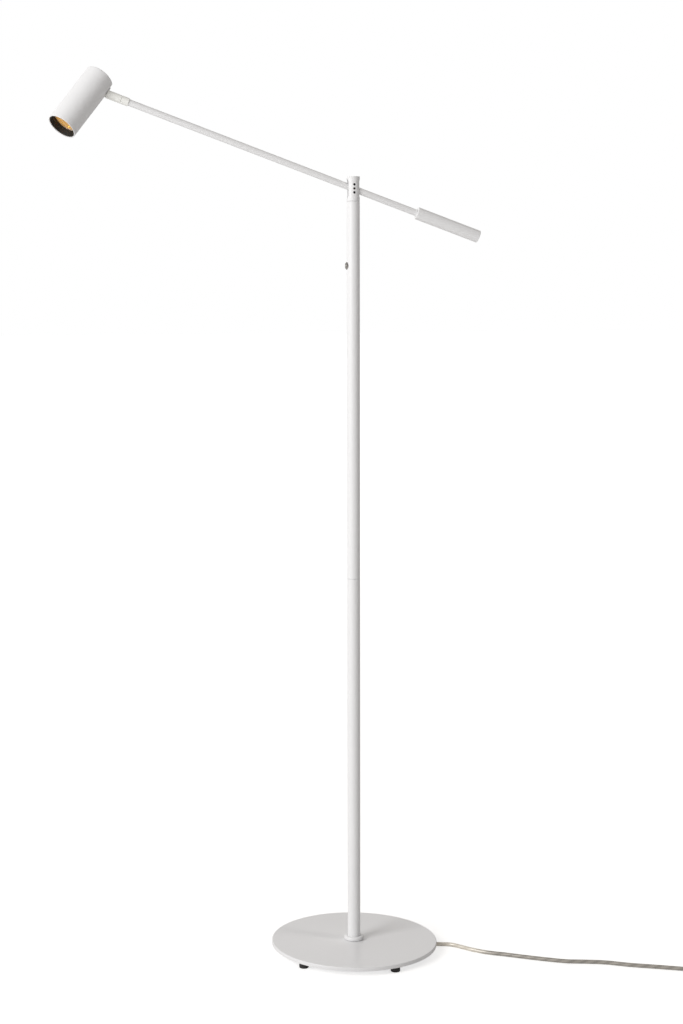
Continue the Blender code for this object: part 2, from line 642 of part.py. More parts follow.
def make_spot(hinge, finishes):
    radius, bore = HEAD_DIA / 2, HEAD_BORE / 2
    back, front, fillet = HEAD_BACK, -HEAD_FRONT, HEAD_BACK_ROUND
    inner_fillet = fillet - HEAD_WALL
    profile = [(0, back)] + arc((radius - fillet, back - fillet), fillet, 90, 0, 4)
    profile += [(radius, front + 0.0003), (radius - 0.0003, front), (bore + 0.0003, front)]
    profile += [(bore, front + 0.0003), (bore, back - HEAD_BACK_WALL - inner_fillet)]
    profile += [(bore - inner_fillet, back - HEAD_BACK_WALL), (0, back - HEAD_BACK_WALL)]
    housing = solid("spot_housing", turned(profile, size="head"), finishes["white"], hinge)
    half = HEAD_SLOT / 2
    lean = math.radians(HEAD_TILT_LEAST)
    slot_low = radius * math.tan(lean) - half / math.cos(lean)
    outline = round_ended(HEAD_SLOT, -back - CUT_OVER, -slot_low)
    side = extruded(outline, -radius - CUT_OVER, -radius + 2 * HEAD_BACK_ROUND, "X")
    cut(housing, "side_slot", side)
    outline = round_ended(HEAD_SLOT, -radius - CUT_OVER, half)
    over = extruded(outline, back - 2 * HEAD_BACK_ROUND, back + CUT_OVER)
    cut(housing, "back_slot", over)

    long, wide, thick = YOKE_PLATE
    ear_inner = TONGUE_THICK / 2 + GAP
    plate_top = -YOKE_BELOW
    plate = block((long, wide, thick), (0, 0, plate_top - thick / 2))
    yoke = solid("tilt_yoke", plate, finishes["zinc"], hinge)
    for name, out in (("front", 1), ("rear", -1)):
        outline = [(plate_top - thick / 2, -EAR_WIDTH / 2)]
        outline += arc((EAR_TOP - EAR_WIDTH / 2, 0), EAR_WIDTH / 2, -90, 90, 8)
        outline += [(plate_top - thick / 2, EAR_WIDTH / 2)]
        outline = [(-second, first) for first, second in outline]
        near, far = sorted((out * ear_inner, out * (ear_inner + EAR_THICK)))
        shape = extruded(outline, -far, -near)
        shape.transform(Matrix.Rotation(math.pi / 2, 4, "X"))
        add(yoke, f"{name}_ear", shape)
    cut(yoke, "pin_bore", rod(PIN_DIA + 2 * FIT, -0.02, 0.02, "Y"))
    pin = rod(PIN_DIA, -PIN_LENGTH / 2, PIN_LENGTH / 2, "Y", chamfer=0.0003)
    solid("tilt_pin", pin, finishes["steel"], hinge)

    sink_top = plate_top - thick - GAP
    fin, core = HEAD_FILL_DIA / 2, SINK_CORE_DIA / 2
    profile = [(0, sink_top)]
    for number in range(FIN_COUNT):
        fin_top = sink_top - number * FIN_PITCH
        profile += [(fin, fin_top), (fin, fin_top - FIN_THICK)]
        if number < FIN_COUNT - 1:
            profile += [(core, fin_top - FIN_THICK), (core, fin_top - FIN_PITCH)]
    sink_low = sink_top - (FIN_COUNT - 1) * FIN_PITCH - FIN_THICK
    profile += [(0, sink_low)]
    solid("heat_sink", turned(profile, size="pole"), finishes["aluminium"], hinge)

    baffle_front = front + BAFFLE_SET_BACK
    glass_back = sink_low - 3 * GAP - LED_BOARD_THICK - LED_THICK - REFLECTOR_DEPTH - GAP
    board_low = sink_low - GAP - LED_BOARD_THICK
    board = rod(LED_BOARD_DIA, board_low, sink_low - GAP)
    solid("led_board", board, finishes["board"], hinge)
    led_low = board_low - GAP - LED_THICK
    solid("led", rod(LED_DIA, led_low, board_low - GAP), finishes["phosphor"], hinge)
    wide_in, narrow_in, wall = REFLECTOR_DIA / 2, REFLECTOR_BACK_DIA / 2, REFLECTOR_WALL
    start, end = board_low - GAP, glass_back + GAP
    bowl = []
    for step in range(5):
        share = step / 4
        bowl.append((narrow_in + (wide_in - narrow_in) * share**0.72, start + (end - start) * share))
    profile = bowl + [(r + wall, z) for r, z in reversed(bowl)]
    solid("reflector", turned(profile, size="pole"), finishes["gold"], hinge)
    glass = rod(REFLECTOR_DIA + 2 * wall, glass_back - GLASS_THICK, glass_back, size="pole")
    solid("front_glass", glass, finishes["glass"], hinge)
    baffle_back, wall = glass_back - GLASS_THICK - GAP, BAFFLE_WALL
    outer = HEAD_FILL_DIA / 2
    profile = [(wide_in, baffle_back), (outer, baffle_back), (outer, baffle_front)]
    profile += [(outer - wall * 0.3, baffle_front), (outer - wall, baffle_front + 0.0006)]
    solid("baffle", turned(profile, size="head"), finishes["black"], hinge)


# ---- Wiring, the mains lead and its plug ----


def make_wiring(stand, hinge, finishes):
    bend = 0.006
    low = BASE_BOTTOM - CORE_DIA - 0.0002
    turn_points = []
    for step in range(6):
        angle = math.radians(90 * step / 5)
        turn_points.append((bend * (1 - math.sin(angle)), 0, low + bend * (1 - math.cos(angle))))
    route = [(BOOT_START - GAP, BOOT_SIDE, BOOT_HEIGHT), (BOOT_START * 0.7, BOOT_SIDE * 0.7, BOOT_HEIGHT)]
    route += [(BOOT_START * 0.4, BOOT_SIDE * 0.2, low), (BOOT_START * 0.2, 0, low)]
    route += turn_points + [(0, 0, BASE_TOP + 0.010), (0, 0, BASE_TOP + STUD_LENGTH + 0.010)]
    cord("base_core", route, CORE_DIA, finishes["cable"], stand, spacing=0.6)
    board_half = BOARD_SIZE[2] / 2 + 0.002
    lower_core = [BASE_TOP + STUD_LENGTH + 0.010 + GAP, BUTTON_HEIGHT - board_half]
    upper_core = [BUTTON_HEIGHT + board_half, SEAM_HEIGHT + 0.001]
    for name, (start, end) in (("lower_core", lower_core), ("upper_core", upper_core)):
        solid(name, rod(CORE_DIA, start, end), finishes["cable"], stand)
    bush_clear = AXLE_BUSH_DIA / 2 + 2 * GAP
    wire = rod(WRIST_BORE - 4 * FIT, bush_clear, ROD_LONG + COLLAR_LENGTH + WRIST_STEM_LENGTH, "X")
    solid("arm_core", wire, finishes["cable"], hinge)


def make_mains_lead(stand, finishes):
    tip, head = BOOT_TIP_DIA / 2, BOOT_HEAD_DIA / 2
    place = (BOOT_START, BOOT_SIDE, BOOT_HEIGHT)
    profile = [(0, 0), (head, 0), (head, BOOT_HEAD_LENGTH), (tip, BOOT_LENGTH), (0, BOOT_LENGTH)]
    solid("strain_relief", turned(profile, "X"), finishes["cable"], stand, place)
    cord("mains_lead", LEAD_ROUTE, LEAD_DIA, finishes["clear_cable"], stand)
    cord("mains_lead_end", TAIL_ROUTE, LEAD_DIA, finishes["clear_cable"], stand)

    inner, outer, low = COIL_BORE / 2, COIL_DIA / 2, COIL_BOTTOM
    high, layer, lean = low + COIL_HEIGHT, low + LEAD_DIA / 2, LEAD_DIA / 2
    profile = [(inner + 0.0012, low), (outer - 0.0012, low), (outer, layer), (outer - lean, high - 0.0010)]
    profile += [(outer - lean - 0.001, high), (inner + lean + 0.001, high)]
    profile += [(inner + lean, high - 0.0010), (inner, layer)]
    solid("lead_coil", turned(profile, size="coil"), finishes["clear_cable"], stand, (*COIL_CENTRE, 0))
    tie = frame_empty("tie_frame", stand, (*COIL_CENTRE, 0), (0, 0, TIE_ANGLE))
    clear, thick = 2 * GAP, TIE_THICK
    tie_low, tie_high = FLOOR_CLEAR, high + clear + thick
    centre = ((inner + outer) / 2, 0, (tie_low + tie_high) / 2)
    long = outer - inner + 2 * (clear + thick)
    strap = solid("lead_tie", block((long, TIE_WIDTH, tie_high - tie_low), centre), finishes["tie"], tie)
    hollow_low = low - GAP
    hollow = block((long - 2 * thick, TIE_WIDTH * 2, high + clear - hollow_low),
                   (centre[0], 0, (high + clear + hollow_low) / 2))
    cut(strap, "inside", hollow)

    back = frame_empty("plug_frame", stand, (*PLUG_BACK, PLUG_THICK / 2 + FLOOR_CLEAR))
    neck, half, shoulder = PLUG_NECK / 2, PLUG_WIDTH / 2, PLUG_LENGTH - 0.010
    outline = [(-neck, 0), (-neck - 0.0012, 0.010), (-half, shoulder), (-half, PLUG_LENGTH)]
    outline += [(half, PLUG_LENGTH), (half, shoulder), (neck + 0.0012, 0.010), (neck, 0)]
    body = solid("plug_body", extruded(outline, -PLUG_THICK / 2, PLUG_THICK / 2), finishes["cable"], back)
    bevel = body.modifiers.new("edges", "BEVEL")
    bevel.width = 0.0012
    bevel.segments = 2
    bevel.limit_method = "ANGLE"
    for name, across in (("left", -1), ("right", 1)):
        place = (across * PLUG_PIN_SPACING / 2, 0, 0)
        shape = rod(PLUG_PIN_DIA, PLUG_LENGTH + GAP, PLUG_LENGTH + PLUG_PIN_LENGTH, "Y", chamfer=0.0006)
        solid(f"plug_pin_{name}", shape, finishes["brass"], back, place)


CORD_PIECES = ("mains_lead", "mains_lead_end", "lead_coil", "lead_tie", "plug_body", "plug_pin_left",
               "plug_pin_right", "strain_relief")


def centre_on_origin(stand):
    """Moves the whole lamp so that its box without the mains lead stands centred on the origin."""
    bpy.context.view_layer.update()
    graph = bpy.context.evaluated_depsgraph_get()
    low, high = Vector((9, 9, 9)), Vector((-9, -9, -9))
    for piece in bpy.context.view_layer.objects:
        if piece.type not in ("MESH", "CURVE") or piece.hide_render or piece.name in CORD_PIECES:
            continue
        seen = piece.evaluated_get(graph)
        mesh = seen.to_mesh()
        for vertex in mesh.vertices:
            spot = seen.matrix_world @ vertex.co
            low = Vector(map(min, low, spot))
            high = Vector(map(max, high, spot))
        seen.to_mesh_clear()
    middle = (low + high) / 2
    stand.location = (-round(middle.x, 4), -round(middle.y, 4), 0)
    bpy.context.view_layer.update()


def main():
    for old in list(bpy.data.objects):
        bpy.data.objects.remove(old)
    finishes = {
        "white": finish("white powder coat", (0.80, 0.80, 0.79), 0.42),
        "cream": finish("ivory powder coat", (0.82, 0.82, 0.78), 0.40),
        "rubber": finish("black rubber", (0.012, 0.012, 0.012), 0.85),
        "zinc": finish("zinc plate", (0.55, 0.56, 0.58), 0.35, 1.0),
        "steel": finish("turned steel", (0.56, 0.56, 0.57), 0.30, 1.0),
        "black_steel": finish("black oxide steel", (0.03, 0.03, 0.03), 0.45, 0.8),
        "brass": finish("brass", (0.75, 0.58, 0.28), 0.30, 1.0),
        "nylon": finish("natural nylon", (0.75, 0.73, 0.66), 0.50),
        "dark_plastic": finish("black plastic", (0.02, 0.02, 0.02), 0.50),
        "board": finish("circuit board", (0.05, 0.22, 0.10), 0.50),
        "aluminium": finish("turned aluminium", (0.77, 0.78, 0.79), 0.35, 1.0),
        "phosphor": finish("yellow phosphor", (0.90, 0.70, 0.15), 0.60),
        "gold": finish("gold reflector", (0.95, 0.60, 0.14), 0.22, 1.0),
        "glass": finish("clear glass", (0.95, 0.95, 0.95), 0.02),
        "black": finish("matt black", (0.012, 0.012, 0.012), 0.70),
        "cable": finish("white vinyl", (0.72, 0.72, 0.71), 0.45),
        "clear_cable": finish("clear vinyl over tinned strands", (0.38, 0.36, 0.33), 0.35),
        "tie": finish("black hook and loop", (0.02, 0.02, 0.02), 0.90),
    }
    stand = frame_empty("stand")
    make_base(stand, finishes)
    make_pole(stand, finishes)
    make_button(stand, finishes)
    swivel = frame_empty("pivot_swivel", stand, turn=(0, 0, ARM_TURN))
    make_pivot_head(swivel, finishes)
    arm = frame_empty("arm_hinge", swivel, (0, 0, PIVOT_HEIGHT), (0, -ARM_RISE, 0))
    make_arm(arm, finishes)
    wrist = frame_empty("wrist_swivel", arm, turn=(WRIST_TURN, 0, 0))
    make_wrist(wrist, finishes)
    spot = frame_empty("spot_hinge", wrist, (PIN_FROM_PIVOT, 0, 0), (0, -HEAD_TILT, 0))
    make_spot(spot, finishes)
    make_wiring(stand, arm, finishes)
    make_mains_lead(stand, finishes)
    centre_on_origin(stand)


main()
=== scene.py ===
"""Adjustable arm floor lamp: the finished surfaces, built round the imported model.

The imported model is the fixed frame. Every piece here takes its place and its main sizes from a
node of that frame, measured along the axes of the joint that carries it, and adds the rounding, the
small features and the finish that the plain solids leave out. Lengths are in metres.
"""

import json
import math

import bmesh
import bpy
from bpy.props import FloatProperty, FloatVectorProperty, IntProperty, PointerProperty
from mathutils import Matrix, Vector


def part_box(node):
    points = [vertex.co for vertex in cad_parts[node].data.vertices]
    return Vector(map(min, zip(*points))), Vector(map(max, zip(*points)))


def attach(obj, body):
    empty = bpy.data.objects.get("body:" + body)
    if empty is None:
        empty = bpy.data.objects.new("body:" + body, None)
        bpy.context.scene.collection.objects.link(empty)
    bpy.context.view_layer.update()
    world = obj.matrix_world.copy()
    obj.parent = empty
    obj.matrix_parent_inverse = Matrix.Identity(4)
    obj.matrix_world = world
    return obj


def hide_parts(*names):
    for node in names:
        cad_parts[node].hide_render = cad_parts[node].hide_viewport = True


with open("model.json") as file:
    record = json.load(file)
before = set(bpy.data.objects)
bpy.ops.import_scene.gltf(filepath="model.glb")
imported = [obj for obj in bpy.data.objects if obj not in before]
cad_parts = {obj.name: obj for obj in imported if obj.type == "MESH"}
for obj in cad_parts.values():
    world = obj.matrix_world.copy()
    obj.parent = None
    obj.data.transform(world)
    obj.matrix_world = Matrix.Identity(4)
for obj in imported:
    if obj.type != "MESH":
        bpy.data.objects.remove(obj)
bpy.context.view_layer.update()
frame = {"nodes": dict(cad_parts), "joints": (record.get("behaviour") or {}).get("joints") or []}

bl_info = {
    "name": "Adjustable Arm Floor Lamp",
    "version": (1, 0, 0),
    "blender": (4, 5, 0),
    "location": "3D Viewport > Sidebar > Floor Lamp",
    "description": "Builds the finished pieces of a floor lamp round its packed model",
    "category": "Add Mesh",
}

MM = 0.001
CUT_OVER = 2 * MM  # how far a cutter runs past the face it opens
GAP = 0.3 * MM  # between pieces that touch
LONG_CUT = 20 * MM  # half the length of a cutter that runs right through the pole's head


def linear(code):
    """An sRGB hex colour as linear red, green and blue."""
    parts = [int(code[start : start + 2], 16) / 255 for start in (0, 2, 4)]
    return [part / 12.92 if part <= 0.04045 else ((part + 0.055) / 1.055) ** 2.4 for part in parts]


# ---- Seats: the axes that each group of pieces is made along ----


def seat(origin, x, y):
    """A matrix with an origin and two of its axes. The third is square to both."""
    x, y = Vector(x).normalized(), Vector(y).normalized()
    z = x.cross(y)
    return Matrix.Translation(origin) @ Matrix((x, y, z)).transposed().to_4x4()


def middle(node):
    """The middle of a node's box."""
    low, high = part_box(node)
    return (low + high) / 2


JOINTS = {joint["name"]: joint for joint in frame["joints"]}
UP = Vector((0, 0, 1))
POLE_MIDDLE = middle("lower_tube")
PIVOT_POINT = Vector(JOINTS["arm_tilt"]["pos_m"])
PIVOT_ACROSS = Vector(JOINTS["arm_tilt"]["axis"])
ARM_ALONG = Vector(JOINTS["wrist_swivel"]["axis"])
TILT_POINT = Vector(JOINTS["spot_tilt"]["pos_m"])
TILT_ACROSS = -Vector(JOINTS["spot_tilt"]["axis"])
LIGHT_BACK = (middle("led") - middle("front_glass")).normalized()

POLE = Matrix.Translation((POLE_MIDDLE.x, POLE_MIDDLE.y, 0))
PIVOT = seat(PIVOT_POINT, PIVOT_ACROSS.cross(UP), PIVOT_ACROSS)
BUTTON = Matrix.Translation((POLE_MIDDLE.x, POLE_MIDDLE.y, middle("button_ring").z))
COIL = Matrix.Translation((middle("lead_coil").x, middle("lead_coil").y, 0))
ARM = seat(PIVOT_POINT, ARM_ALONG, PIVOT_ACROSS)
WRIST = seat(TILT_POINT, ARM_ALONG, TILT_ACROSS)
SPOT = seat(TILT_POINT, TILT_ACROSS.cross(LIGHT_BACK), TILT_ACROSS)


def extent(node, axes):
    """The lowest and highest corner of a node, measured along a seat's own axes."""
    inside = axes.inverted()
    spots = [inside @ vertex.co for vertex in frame["nodes"][node].data.vertices]
    low = Vector([min(spot[i] for spot in spots) for i in range(3)])
    high = Vector([max(spot[i] for spot in spots) for i in range(3)])
    return low, high


# ---- Sizes and colours that a user would change ----


def length(name, description, metres):
    """A property that holds a length."""
    return FloatProperty(name=name, description=description, default=metres, unit="LENGTH")


def angle(name, description, degrees):
    """A property that holds an angle."""
    return FloatProperty(
        name=name, description=description, default=math.radians(degrees), unit="ROTATION"
    )


def colour(name, description, code):
    """A property that holds a colour, from its sRGB hex code."""
    return FloatVectorProperty(
        name=name, description=description, subtype="COLOR", default=linear(code)
    )


class LampSizes(bpy.types.PropertyGroup):
    """Sizes of the small features. The main sizes come from the frame."""

    sides: IntProperty(name="Sides", description="Sides of a round piece", default=128, min=24)
    plate_edge: length("Plate edge", "Rounding of the base plate's rim", 1.2 * MM)
    paint_edge: length("Paint edge", "Rounding that paint leaves on a turned edge", 0.35 * MM)
    tube_wall: length("Pole wall", "Wall of the pole's tubes", 1.0 * MM)
    slot_width: length("Arm slot width", "Width of the slot that holds the arm", 10.4 * MM)
    slot_height: length("Arm slot height", "Height of the slot that holds the arm", 28.8 * MM)
    spot_wall: length("Spot wall", "Wall of the spot", 1.3 * MM)
    spot_slot: length("Spot slot", "Width of the slot that the wrist tilts in", 13.2 * MM)
    facet_rows: IntProperty(
        name="Facet rows", description="Rows of facets in the reflector", default=6, min=3
    )
    facets_round: IntProperty(
        name="Facets round", description="Facets round the reflector", default=30, min=12
    )
    lead_diameter: length("Lead diameter", "Outside of the mains lead", 6.0 * MM)


class LampColours(bpy.types.PropertyGroup):
    """Colours of the finishes."""

    paint: colour("Paint", "White powder coat", "F4F4F5")
    # The wrist's ivory paint is set at full brightness, lighter than the white paint: partly its
    # own colour, partly painted light.
    wrist: colour("Wrist paint", "Ivory powder coat of the wrist", "FFFFFB")
    gold: colour("Reflector", "Gold of the reflector", "FFC23C")
    rubber: colour("Rubber", "Rubber of the feet", "262524")
    lead: colour("Lead", "Tinned strands seen through the lead's clear sheath", "A9A49C")


class LampStage(bpy.types.PropertyGroup):
    """The camera and the light."""

    camera_distance: length("Camera distance", "In front of the pole", 2.8)
    camera_side: length("Camera side", "Right of the pole", -0.1885)
    camera_height: length("Camera height", "Above the floor", 0.9984)
    camera_pitch: angle("Camera pitch", "Downwards", 6.673)
    camera_roll: angle("Camera roll", "About the line of sight", -0.509)
    lens: FloatProperty(
        name="Lens", description="Focal length in millimetres on a 36 mm side", default=66.77
    )
    key_power: FloatProperty(
        name="Key light", description="Power of the soft box on the left", default=66.0
    )
    fill_power: FloatProperty(
        name="Fill light", description="Power of the soft box on the right", default=12.5
    )
    sky: FloatProperty(
        name="Studio brightness", description="Light of the studio's pale walls", default=0.65
    )


# ---- Making meshes ----

ROUND_STEPS = 6  # segments of a rounded corner
BAR_SIDES = 48
SMALL_SIDES = 64
FINE_SIDES = 96
WIDE_SIDES = 160
MERGE = 0.001 * MM
AXIS_TURNS = {
    "Z": Matrix.Identity(4),
    "X": Matrix.Rotation(math.pi / 2, 4, "Y"),
    "Y": Matrix.Rotation(-math.pi / 2, 4, "X"),
}


def new_object(name, data):
    """A new object, linked to the scene."""
    made = bpy.data.objects.new(name, data)
    bpy.context.scene.collection.objects.link(made)
    return made


def new_mesh(name, shape):
    """A mesh from a shape, which this uses up."""
    mesh = bpy.data.meshes.new(name)
    shape.to_mesh(mesh)
    shape.free()
    return mesh


def evaluated(helper):
    """The shape that Blender makes of a helper object."""
    seen = helper.evaluated_get(bpy.context.evaluated_depsgraph_get())
    shape = bmesh.new()
    shape.from_mesh(seen.to_mesh())
    seen.to_mesh_clear()
    return shape


def corner_arc(before, corner, after, radius):
    """The points that round off one corner of a profile."""
    corner = Vector(corner)
    to_before = (Vector(before) - corner).normalized()
    to_after = (Vector(after) - corner).normalized()
    half = to_before.angle(to_after) / 2
    reach = radius / math.tan(half)
    centre = corner + (to_before + to_after).normalized() * (radius / math.sin(half))
    start, end = corner + to_before * reach - centre, corner + to_after * reach - centre
    sweep = start.angle_signed(end)
    return [
        centre + Matrix.Rotation(-sweep * step / ROUND_STEPS, 2) @ start
        for step in range(ROUND_STEPS + 1)
    ]


def rounded(corners):
    """A profile's points from its corners (across, along, rounding). 0 keeps a corner sharp."""
    found = []
    count = len(corners)
    for index, (across, along, radius) in enumerate(corners):
        if radius:
            before, after = corners[index - 1][:2], corners[(index + 1) % count][:2]
            found += [tuple(point) for point in corner_arc(before, (across, along), after, radius)]
        else:
            found.append((across, along))
    return found


def turned(corners, axis="Z", sides=None):
    """Corners (radius, height, rounding) spun about an axis.

    A profile that stays off the axis is a closed ring.
    """
    sides = sides or bpy.context.scene.lamp_sizes.sides
    profile = rounded(corners)
    shape = bmesh.new()
    points = [shape.verts.new((radius, 0, height)) for radius, height in profile]
    edges = [shape.edges.new(pair) for pair in zip(points, points[1:])]
    if min(radius for radius, _ in profile) > 0:
        edges.append(shape.edges.new((points[-1], points[0])))
    bmesh.ops.spin(
        shape, geom=points + edges, cent=(0, 0, 0), axis=(0, 0, 1), angle=2 * math.pi,
        steps=sides, use_merge=True,
    )
    bmesh.ops.remove_doubles(shape, verts=shape.verts, dist=MERGE)
    bmesh.ops.dissolve_degenerate(shape, edges=shape.edges, dist=0.1 * MERGE)
    face_outwards(shape)
    shape.transform(AXIS_TURNS[axis])
    return shape


def band(inner, outer, start, end, edge):
    """The corners of a ring or a disc whose outer edges are rounded."""
    return [(inner, start, 0), (outer, start, edge), (outer, end, edge), (inner, end, 0)]


def bar(diameter, start, end, axis="Z", edge=0.0, centre=(0, 0, 0)):
    """A round bar from start to end along an axis."""
    shape = turned(band(0, diameter / 2, start, end, edge), axis, BAR_SIDES)
    bmesh.ops.translate(shape, vec=centre, verts=shape.verts)
    return shape


def block(low, high, edge=0.0):
    """A box between two corners, with rounded edges."""
    shape = bmesh.new()
    bmesh.ops.create_cube(shape, size=1.0)
    low, high = Vector(low), Vector(high)
    bmesh.ops.scale(shape, vec=high - low, verts=shape.verts)
    bmesh.ops.translate(shape, vec=(low + high) / 2, verts=shape.verts)
    if edge:
        round_edges(shape, shape.edges, edge)
    return shape


def round_edges(shape, edges, width, segments=3):
    """Rounds edges of a shape."""
    bmesh.ops.bevel(
        shape, geom=list(edges), affect="EDGES", offset=width, segments=segments, profile=0.5,
        material=-1, clamp_overlap=True,
    )


def hexagon(across, start, end, axis="Z", centre=(0, 0, 0)):
    """A six-sided bar, measured across its flats."""
    shape = bmesh.new()
    radius = across / math.sqrt(3)
    bmesh.ops.create_cone(
        shape, cap_ends=True, segments=6, radius1=radius, radius2=radius, depth=end - start
    )
    bmesh.ops.translate(shape, vec=(0, 0, (start + end) / 2), verts=shape.verts)
    shape.transform(AXIS_TURNS[axis])
    bmesh.ops.translate(shape, vec=centre, verts=shape.verts)
    return shape


def face_outwards(shape):
    """Turns the faces of a closed shape outwards."""
    bmesh.ops.recalc_face_normals(shape, faces=shape.faces)
    if shape.calc_volume(signed=True) < 0:
        bmesh.ops.reverse_faces(shape, faces=shape.faces)


def slab(outline, low, high, axis="Z"):
    """A flat outline given a thickness along an axis."""
    shape = bmesh.new()
    face = shape.faces.new([shape.verts.new((first, second, low)) for first, second in outline])
    made = bmesh.ops.extrude_face_region(shape, geom=[face])["geom"]
    raised = [item for item in made if isinstance(item, bmesh.types.BMVert)]
    bmesh.ops.translate(shape, vec=(0, 0, high - low), verts=raised)
    face_outwards(shape)
    shape.transform(AXIS_TURNS[axis])
    return shape


def round_end(centre, radius, start, end, steps=24):
    """Points on an arc between two angles in degrees."""
    found = []
    for step in range(steps + 1):
        angle = math.radians(start + (end - start) * step / steps)
        found.append((centre[0] + radius * math.cos(angle), centre[1] + radius * math.sin(angle)))
    return found


def carved(body, tool, operation="DIFFERENCE"):
    """Takes one shape out of another, or joins them, with Blender's exact boolean."""
    helpers = []
    for shape in (body, tool):
        face_outwards(shape)
        helpers.append(new_object("boolean", new_mesh("boolean", shape)))
    boolean = helpers[0].modifiers.new("boolean", "BOOLEAN")
    boolean.object = helpers[1]
    boolean.operation = operation
    result = evaluated(helpers[0])
    for helper in helpers:
        mesh = helper.data
        bpy.data.objects.remove(helper)
        bpy.data.meshes.remove(mesh)
    bmesh.ops.remove_doubles(result, verts=result.verts, dist=MERGE)
    return result


def piece(name, shape, axes, finish, body, *nodes, sharp=32.0):
    """Puts a shape into the scene as a finished piece that rides on a body and stands for nodes."""
    shape.transform(axes)
    mesh = new_mesh(name, shape)
    mesh.shade_smooth()
    mesh.set_sharp_from_angle(angle=math.radians(sharp))
    mesh.materials.append(finishes()[finish])
    made = new_object(name, mesh)
    even = made.modifiers.new("even shading", "WEIGHTED_NORMAL")
    even.keep_sharp = True
    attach(made, body)
    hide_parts(*nodes)
    return made


def repaint(finish, *nodes):
    """Gives nodes of the frame a finish."""
    for node in nodes:
        mesh = frame["nodes"][node].data
        mesh.materials.clear()
        mesh.materials.append(finishes()[finish])


# ---- Finishes ----


def add_node(tree, kind, values=None, links=None, **settings):
    """Adds one shader node with its settings, input values and links."""
    made = tree.nodes.new(kind)
    for name, value in settings.items():
        setattr(made, name, value)
    for socket, value in (values or {}).items():
        made.inputs[socket].default_value = value
    for socket, source in (links or {}).items():
        tree.links.new(source, made.inputs[socket])
    return made


def new_finish(name, **values):
    """A new material with its shader's values, the shader and the piece's own coordinates."""
    made = bpy.data.materials.new(name)
    made.use_nodes = True
    tree = made.node_tree
    shader = tree.nodes["Principled BSDF"]
    for socket, value in values.items():
        shader.inputs[socket.replace("_", " ")].default_value = value
    place = add_node(tree, "ShaderNodeTexCoord").outputs["Object"]
    return made, tree, shader, place


def per_metre(size):
    """The texture scale that gives a pattern one feature in this length."""
    return 1.0 / size


def opaque(tone):
    """A colour with the alpha that a socket asks for."""
    return (*tone, 1.0)


def shade(tone, share):
    """A colour made darker, or lighter where the share is over 1."""
    return tuple(min(1.0, part * share) for part in tone)


def add_bump(tree, shader, pattern, height, strength=1.0):
    """Raises a surface by a pattern."""
    values = {"Distance": height, "Strength": strength}
    bump = add_node(tree, "ShaderNodeBump", values, {"Height": pattern})
    tree.links.new(bump.outputs["Normal"], shader.inputs["Normal"])


def surface_grain(tree, shader, place, size, height, strength=1.0):
    """Fine unevenness of a surface: bumps of one size and height."""
    values = {"Scale": per_metre(size), "Detail": 2.0, "Roughness": 0.5}
    grain = add_node(tree, "ShaderNodeTexNoise", values, {"Vector": place})
    add_bump(tree, shader, grain.outputs["Fac"], height, strength)


def tinted(tree, shader, pattern, low, high):
    """Colours a surface by a pattern, from one tone to another."""
    values = {6: opaque(low), 7: opaque(high)}
    tone = add_node(tree, "ShaderNodeMix", values, {0: pattern}, data_type="RGBA")
    tree.links.new(tone.outputs[2], shader.inputs["Base Color"])


def patchy(tree, shader, place, tone, share, patch, roughness, spread):
    """Slow change from a tone to a share of it, and of roughness, in patches of one size."""
    values = {"Scale": per_metre(patch), "Detail": 4.0, "Roughness": 0.6}
    patches = add_node(tree, "ShaderNodeTexNoise", values, {"Vector": place}).outputs["Fac"]
    tinted(tree, shader, patches, tone, shade(tone, share))
    values = {"To Min": roughness - spread, "To Max": roughness + spread}
    rough = add_node(tree, "ShaderNodeMapRange", values, {"Value": patches})
    tree.links.new(rough.outputs["Result"], shader.inputs["Roughness"])


def grained(name, patches, grain, **values):
    """A finish with slow patches and a fine grain, which most of the lamp's materials have."""
    made, tree, shader, place = new_finish(name, **values)
    patchy(tree, shader, place, *patches)
    surface_grain(tree, shader, place, *grain)
    return made


def powder_coat(name, tone, roughness):
    """Polyester powder coat on steel: satin, with the faint peel that the melted powder leaves.

    The peel is drawn at 3.2 mm, coarser than the real 0.8 mm, so that it shows.
    """
    patches = (tone, 0.975, 90 * MM, roughness, 0.02)
    return grained(name, patches, (3.2 * MM, 0.006 * MM, 0.4), IOR=1.5)


def moulded_rubber(tone):
    """Moulded nitrile rubber: near black and matt, with a dusty bloom that lifts it in patches."""
    patches = (tone, 1.7, 5 * MM, 0.78, 0.08)
    return grained("Moulded nitrile rubber", patches, (0.7 * MM, 0.05 * MM), IOR=1.52)


def plated_steel(name, code, roughness):
    """Zinc or oxide finish on steel: metallic, with the cloudy crystals of the plating bath."""
    patches = (linear(code), 0.8, 2.5 * MM, roughness, 0.1)
    return grained(name, patches, (0.4 * MM, 0.01 * MM), Metallic=1.0)


def moulded_plastic(name, code, roughness=0.45, grain=0.5 * MM):
    """Injection-moulded plastic: even colour, and the fine spark texture of its mould."""
    patches = (linear(code), 0.95, 12 * MM, roughness, 0.04)
    return grained(name, patches, (grain, 0.02 * MM, 0.7), IOR=1.5)


def led_phosphor():
    """Phosphor in silicone over the LED chips: matt yellow with fine grains."""
    patches = (linear("F5D25A"), 0.85, 0.8 * MM, 0.5, 0.1)
    return grained("Silicone phosphor", patches, (0.3 * MM, 0.03 * MM), IOR=1.41)


def gold_facets(tone):
    """Vacuum-metallised gold on moulded facets: mirror-like, with a faint haze in patches.

    Its weak glow is painted light: it stands for the light that the facets of the deep bowl pass
    between them.
    """
    return grained(
        "Metallised gold", (tone, 0.8, 3 * MM, 0.2, 0.06), (1.5 * MM, 0.01 * MM), Metallic=0.85,
        # The emission is painted light, a glow on a reflector that is no lamp.
        Emission_Strength=0.34, Emission_Color=opaque(tone),
    )


WAVE_PITCH = 0.314  # the wave texture's scale that gives one ring in a metre
RING_PITCH = 0.6 * MM


